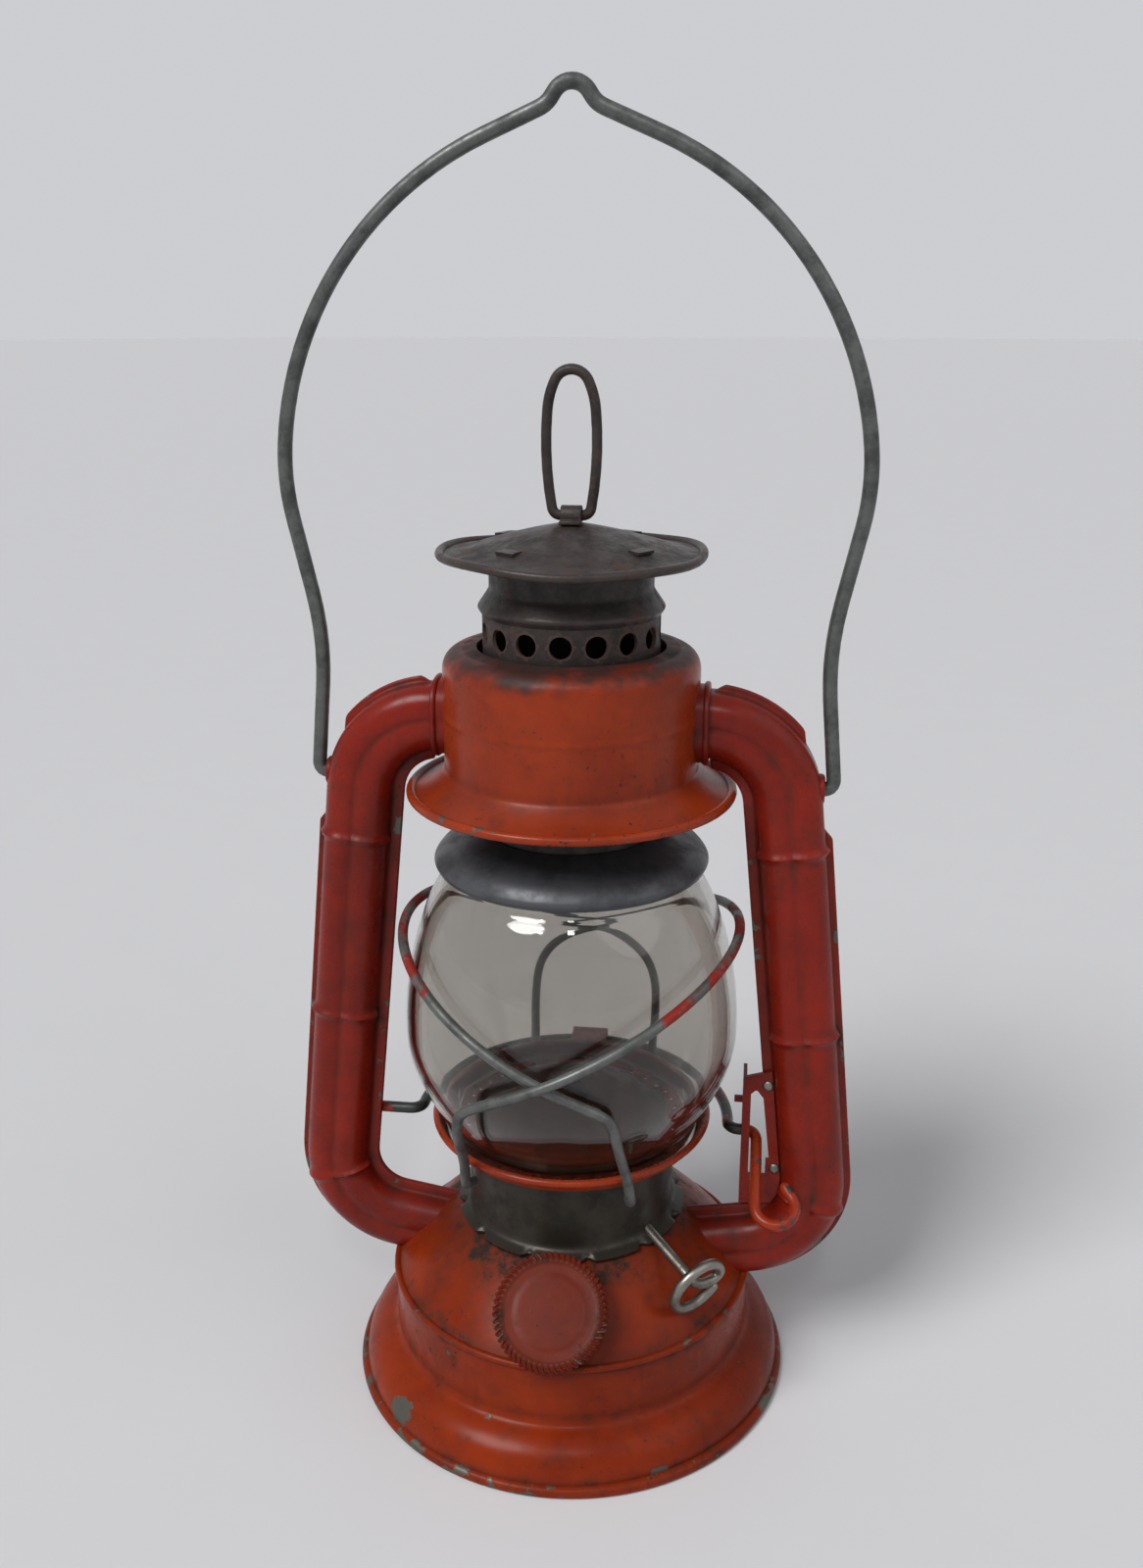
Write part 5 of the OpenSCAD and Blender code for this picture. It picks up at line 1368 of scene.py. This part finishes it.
def set_world():
    """A plain sky: pale where the camera, a gloss or the glass sees it, and softer as light."""
    world = bpy.data.worlds.new("studio")
    bpy.context.scene.world = world
    world.use_nodes = True
    world.node_tree.nodes.clear()
    bench = Bench(world.node_tree)
    rays = bench.add("ShaderNodeLightPath").outputs
    seen = bench.math("MAXIMUM", rays["Is Camera Ray"], rays["Is Glossy Ray"])
    seen = bench.math("MAXIMUM", seen, rays["Is Transmission Ray"])
    strength = bench.plus(SKY_LIGHT, bench.times(seen, SKY_SEEN))
    sky = bench.add("ShaderNodeBackground", {"Color": SKY_COLOUR, "Strength": strength})
    bench.add("ShaderNodeOutputWorld", {"Surface": sky.outputs[0]})


def hung(name, lamp, place, aim):
    """A light at a place, turned to its aim."""
    held = bpy.data.objects.new(name, lamp)
    held.location = place
    held.rotation_euler = (Vector(aim) - Vector(place)).to_track_quat("-Z", "Y").to_euler()
    bpy.context.scene.collection.objects.link(held)


def hang_lights():
    """The suns are broad, even light, as from a large window. The lamps are small windows, which give the
    glass and the enamel their highlights."""
    for name, place, wide, power in SUNS:
        lamp = bpy.data.lights.new(name, "SUN")
        lamp.angle = math.radians(wide)
        lamp.energy = power
        hung(name, lamp, place, (0, 0, 0))
    for name, place, wide, tall, power in LAMPS:
        lamp = bpy.data.lights.new(name, "AREA")
        lamp.shape = "RECTANGLE"
        lamp.size = wide
        lamp.size_y = tall
        lamp.energy = power
        hung(name, lamp, place, LAMP_AIM)


def set_camera():
    """The camera of the photograph: in front, a little to the right, looking down."""
    lens = bpy.data.cameras.new("camera")
    lens.lens = LENS
    lens.sensor_width = SENSOR
    held = bpy.data.objects.new("camera", lens)
    held.location = Vector(CAMERA_PLACE) * MM
    held.rotation_euler = Euler((math.radians(90 - CAMERA_PITCH), 0.0, math.radians(CAMERA_TURN)))
    bpy.context.scene.collection.objects.link(held)
    bpy.context.scene.camera = held


# Operators


class LANTERN_OT_fount(bpy.types.Operator):
    """Builds the fount, its dome and the burner collar"""

    bl_idname = "lantern.fount"
    bl_label = "Fount"

    def execute(self, context):
        fount()
        dome()
        collar()
        return {"FINISHED"}


class LANTERN_OT_filler(bpy.types.Operator):
    """Builds the filler cap"""

    bl_idname = "lantern.filler"
    bl_label = "Filler cap"

    def execute(self, context):
        filler_cap()
        return {"FINISHED"}


class LANTERN_OT_tubes(bpy.types.Operator):
    """Builds the two air tubes, their ferrules, the bracket, the ears and the rivets"""

    bl_idname = "lantern.tubes"
    bl_label = "Air tubes"

    def execute(self, context):
        tubes()
        ferrules()
        bail_fittings()
        eased_copy("lift_bracket_plate", "lift_bracket", "frame", "enamel_red", 0.2)
        return {"FINISHED"}


class LANTERN_OT_hood(bpy.types.Operator):
    """Builds the hood and the spring inside it"""

    bl_idname = "lantern.hood"
    bl_label = "Hood"

    def execute(self, context):
        hood()
        spring()
        return {"FINISHED"}


class LANTERN_OT_chimney(bpy.types.Operator):
    """Builds the bell, the chimney, the canopy, the bridge and the lift ring"""

    bl_idname = "lantern.chimney"
    bl_label = "Chimney"

    def execute(self, context):
        retainer()
        chimney()
        canopy()
        eased_copy("ring_strap", "ring_bridge", "chimney", "sooty_steel", 0.2)
        lift_ring()
        return {"FINISHED"}


class LANTERN_OT_burner(bpy.types.Operator):
    """Builds the globe plate, the burner cone, the wick, its tube and its key"""

    bl_idname = "lantern.burner"
    bl_label = "Burner"

    def execute(self, context):
        globe_plate()
        cone()
        wick()
        wick_key()
        eased_copy("wick_tube_sleeve", "wick_tube", "frame", "burner_brass", 0.15)
        return {"FINISHED"}


class LANTERN_OT_globe(bpy.types.Operator):
    """Builds the glass globe and its two guard wires"""

    bl_idname = "lantern.globe"
    bl_label = "Globe"

    def execute(self, context):
        globe()
        guards()
        return {"FINISHED"}


class LANTERN_OT_wires(bpy.types.Operator):
    """Builds the bail and the lift crank"""

    bl_idname = "lantern.wires"
    bl_label = "Bail and lever"

    def execute(self, context):
        bail()
        crank()
        return {"FINISHED"}


class LANTERN_OT_kept(bpy.types.Operator):
    """Gives the frame's own nodes that stay in view their finishes"""

    bl_idname = "lantern.kept"
    bl_label = "Kept nodes"

    def execute(self, context):
        for node, slot in KEPT.items():
            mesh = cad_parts[node].data
            mesh.materials.clear()
            mesh.materials.append(finish(slot))
        return {"FINISHED"}


class LANTERN_OT_stage(bpy.types.Operator):
    """Sets the floor, the light and the camera"""

    bl_idname = "lantern.stage"
    bl_label = "Stage"

    def execute(self, context):
        lay_floor()
        set_world()
        hang_lights()
        set_camera()
        context.scene.view_settings.view_transform = "Standard"
        return {"FINISHED"}


OPERATORS = (
    LANTERN_OT_fount, LANTERN_OT_filler, LANTERN_OT_tubes, LANTERN_OT_hood, LANTERN_OT_chimney,
    LANTERN_OT_burner, LANTERN_OT_globe, LANTERN_OT_wires, LANTERN_OT_kept, LANTERN_OT_stage,
)


class LANTERN_PT_panel(bpy.types.Panel):
    """Lists the lantern's pieces, sizes and colours"""

    bl_label = "Lantern"
    bl_idname = "LANTERN_PT_panel"
    bl_space_type = "VIEW_3D"
    bl_region_type = "UI"
    bl_category = "Lantern"

    def draw(self, context):
        for kind in OPERATORS:
            self.layout.operator(kind.bl_idname)
        for held in (context.scene.lantern_sizes, context.scene.lantern_colours):
            for name in held.__annotations__:
                self.layout.prop(held, name)


CLASSES = (LanternColours, LanternSizes, *OPERATORS, LANTERN_PT_panel)


def register():
    for kind in CLASSES:
        bpy.utils.register_class(kind)
    bpy.types.Scene.lantern_colours = bpy.props.PointerProperty(type=LanternColours)
    bpy.types.Scene.lantern_sizes = bpy.props.PointerProperty(type=LanternSizes)


def unregister():
    del bpy.types.Scene.lantern_sizes
    del bpy.types.Scene.lantern_colours
    for kind in reversed(CLASSES):
        bpy.utils.unregister_class(kind)


def main():
    register()
    for kind in OPERATORS:
        area, name = kind.bl_idname.split(".")
        getattr(getattr(bpy.ops, area), name)()


if __name__ == "__main__":
    main()
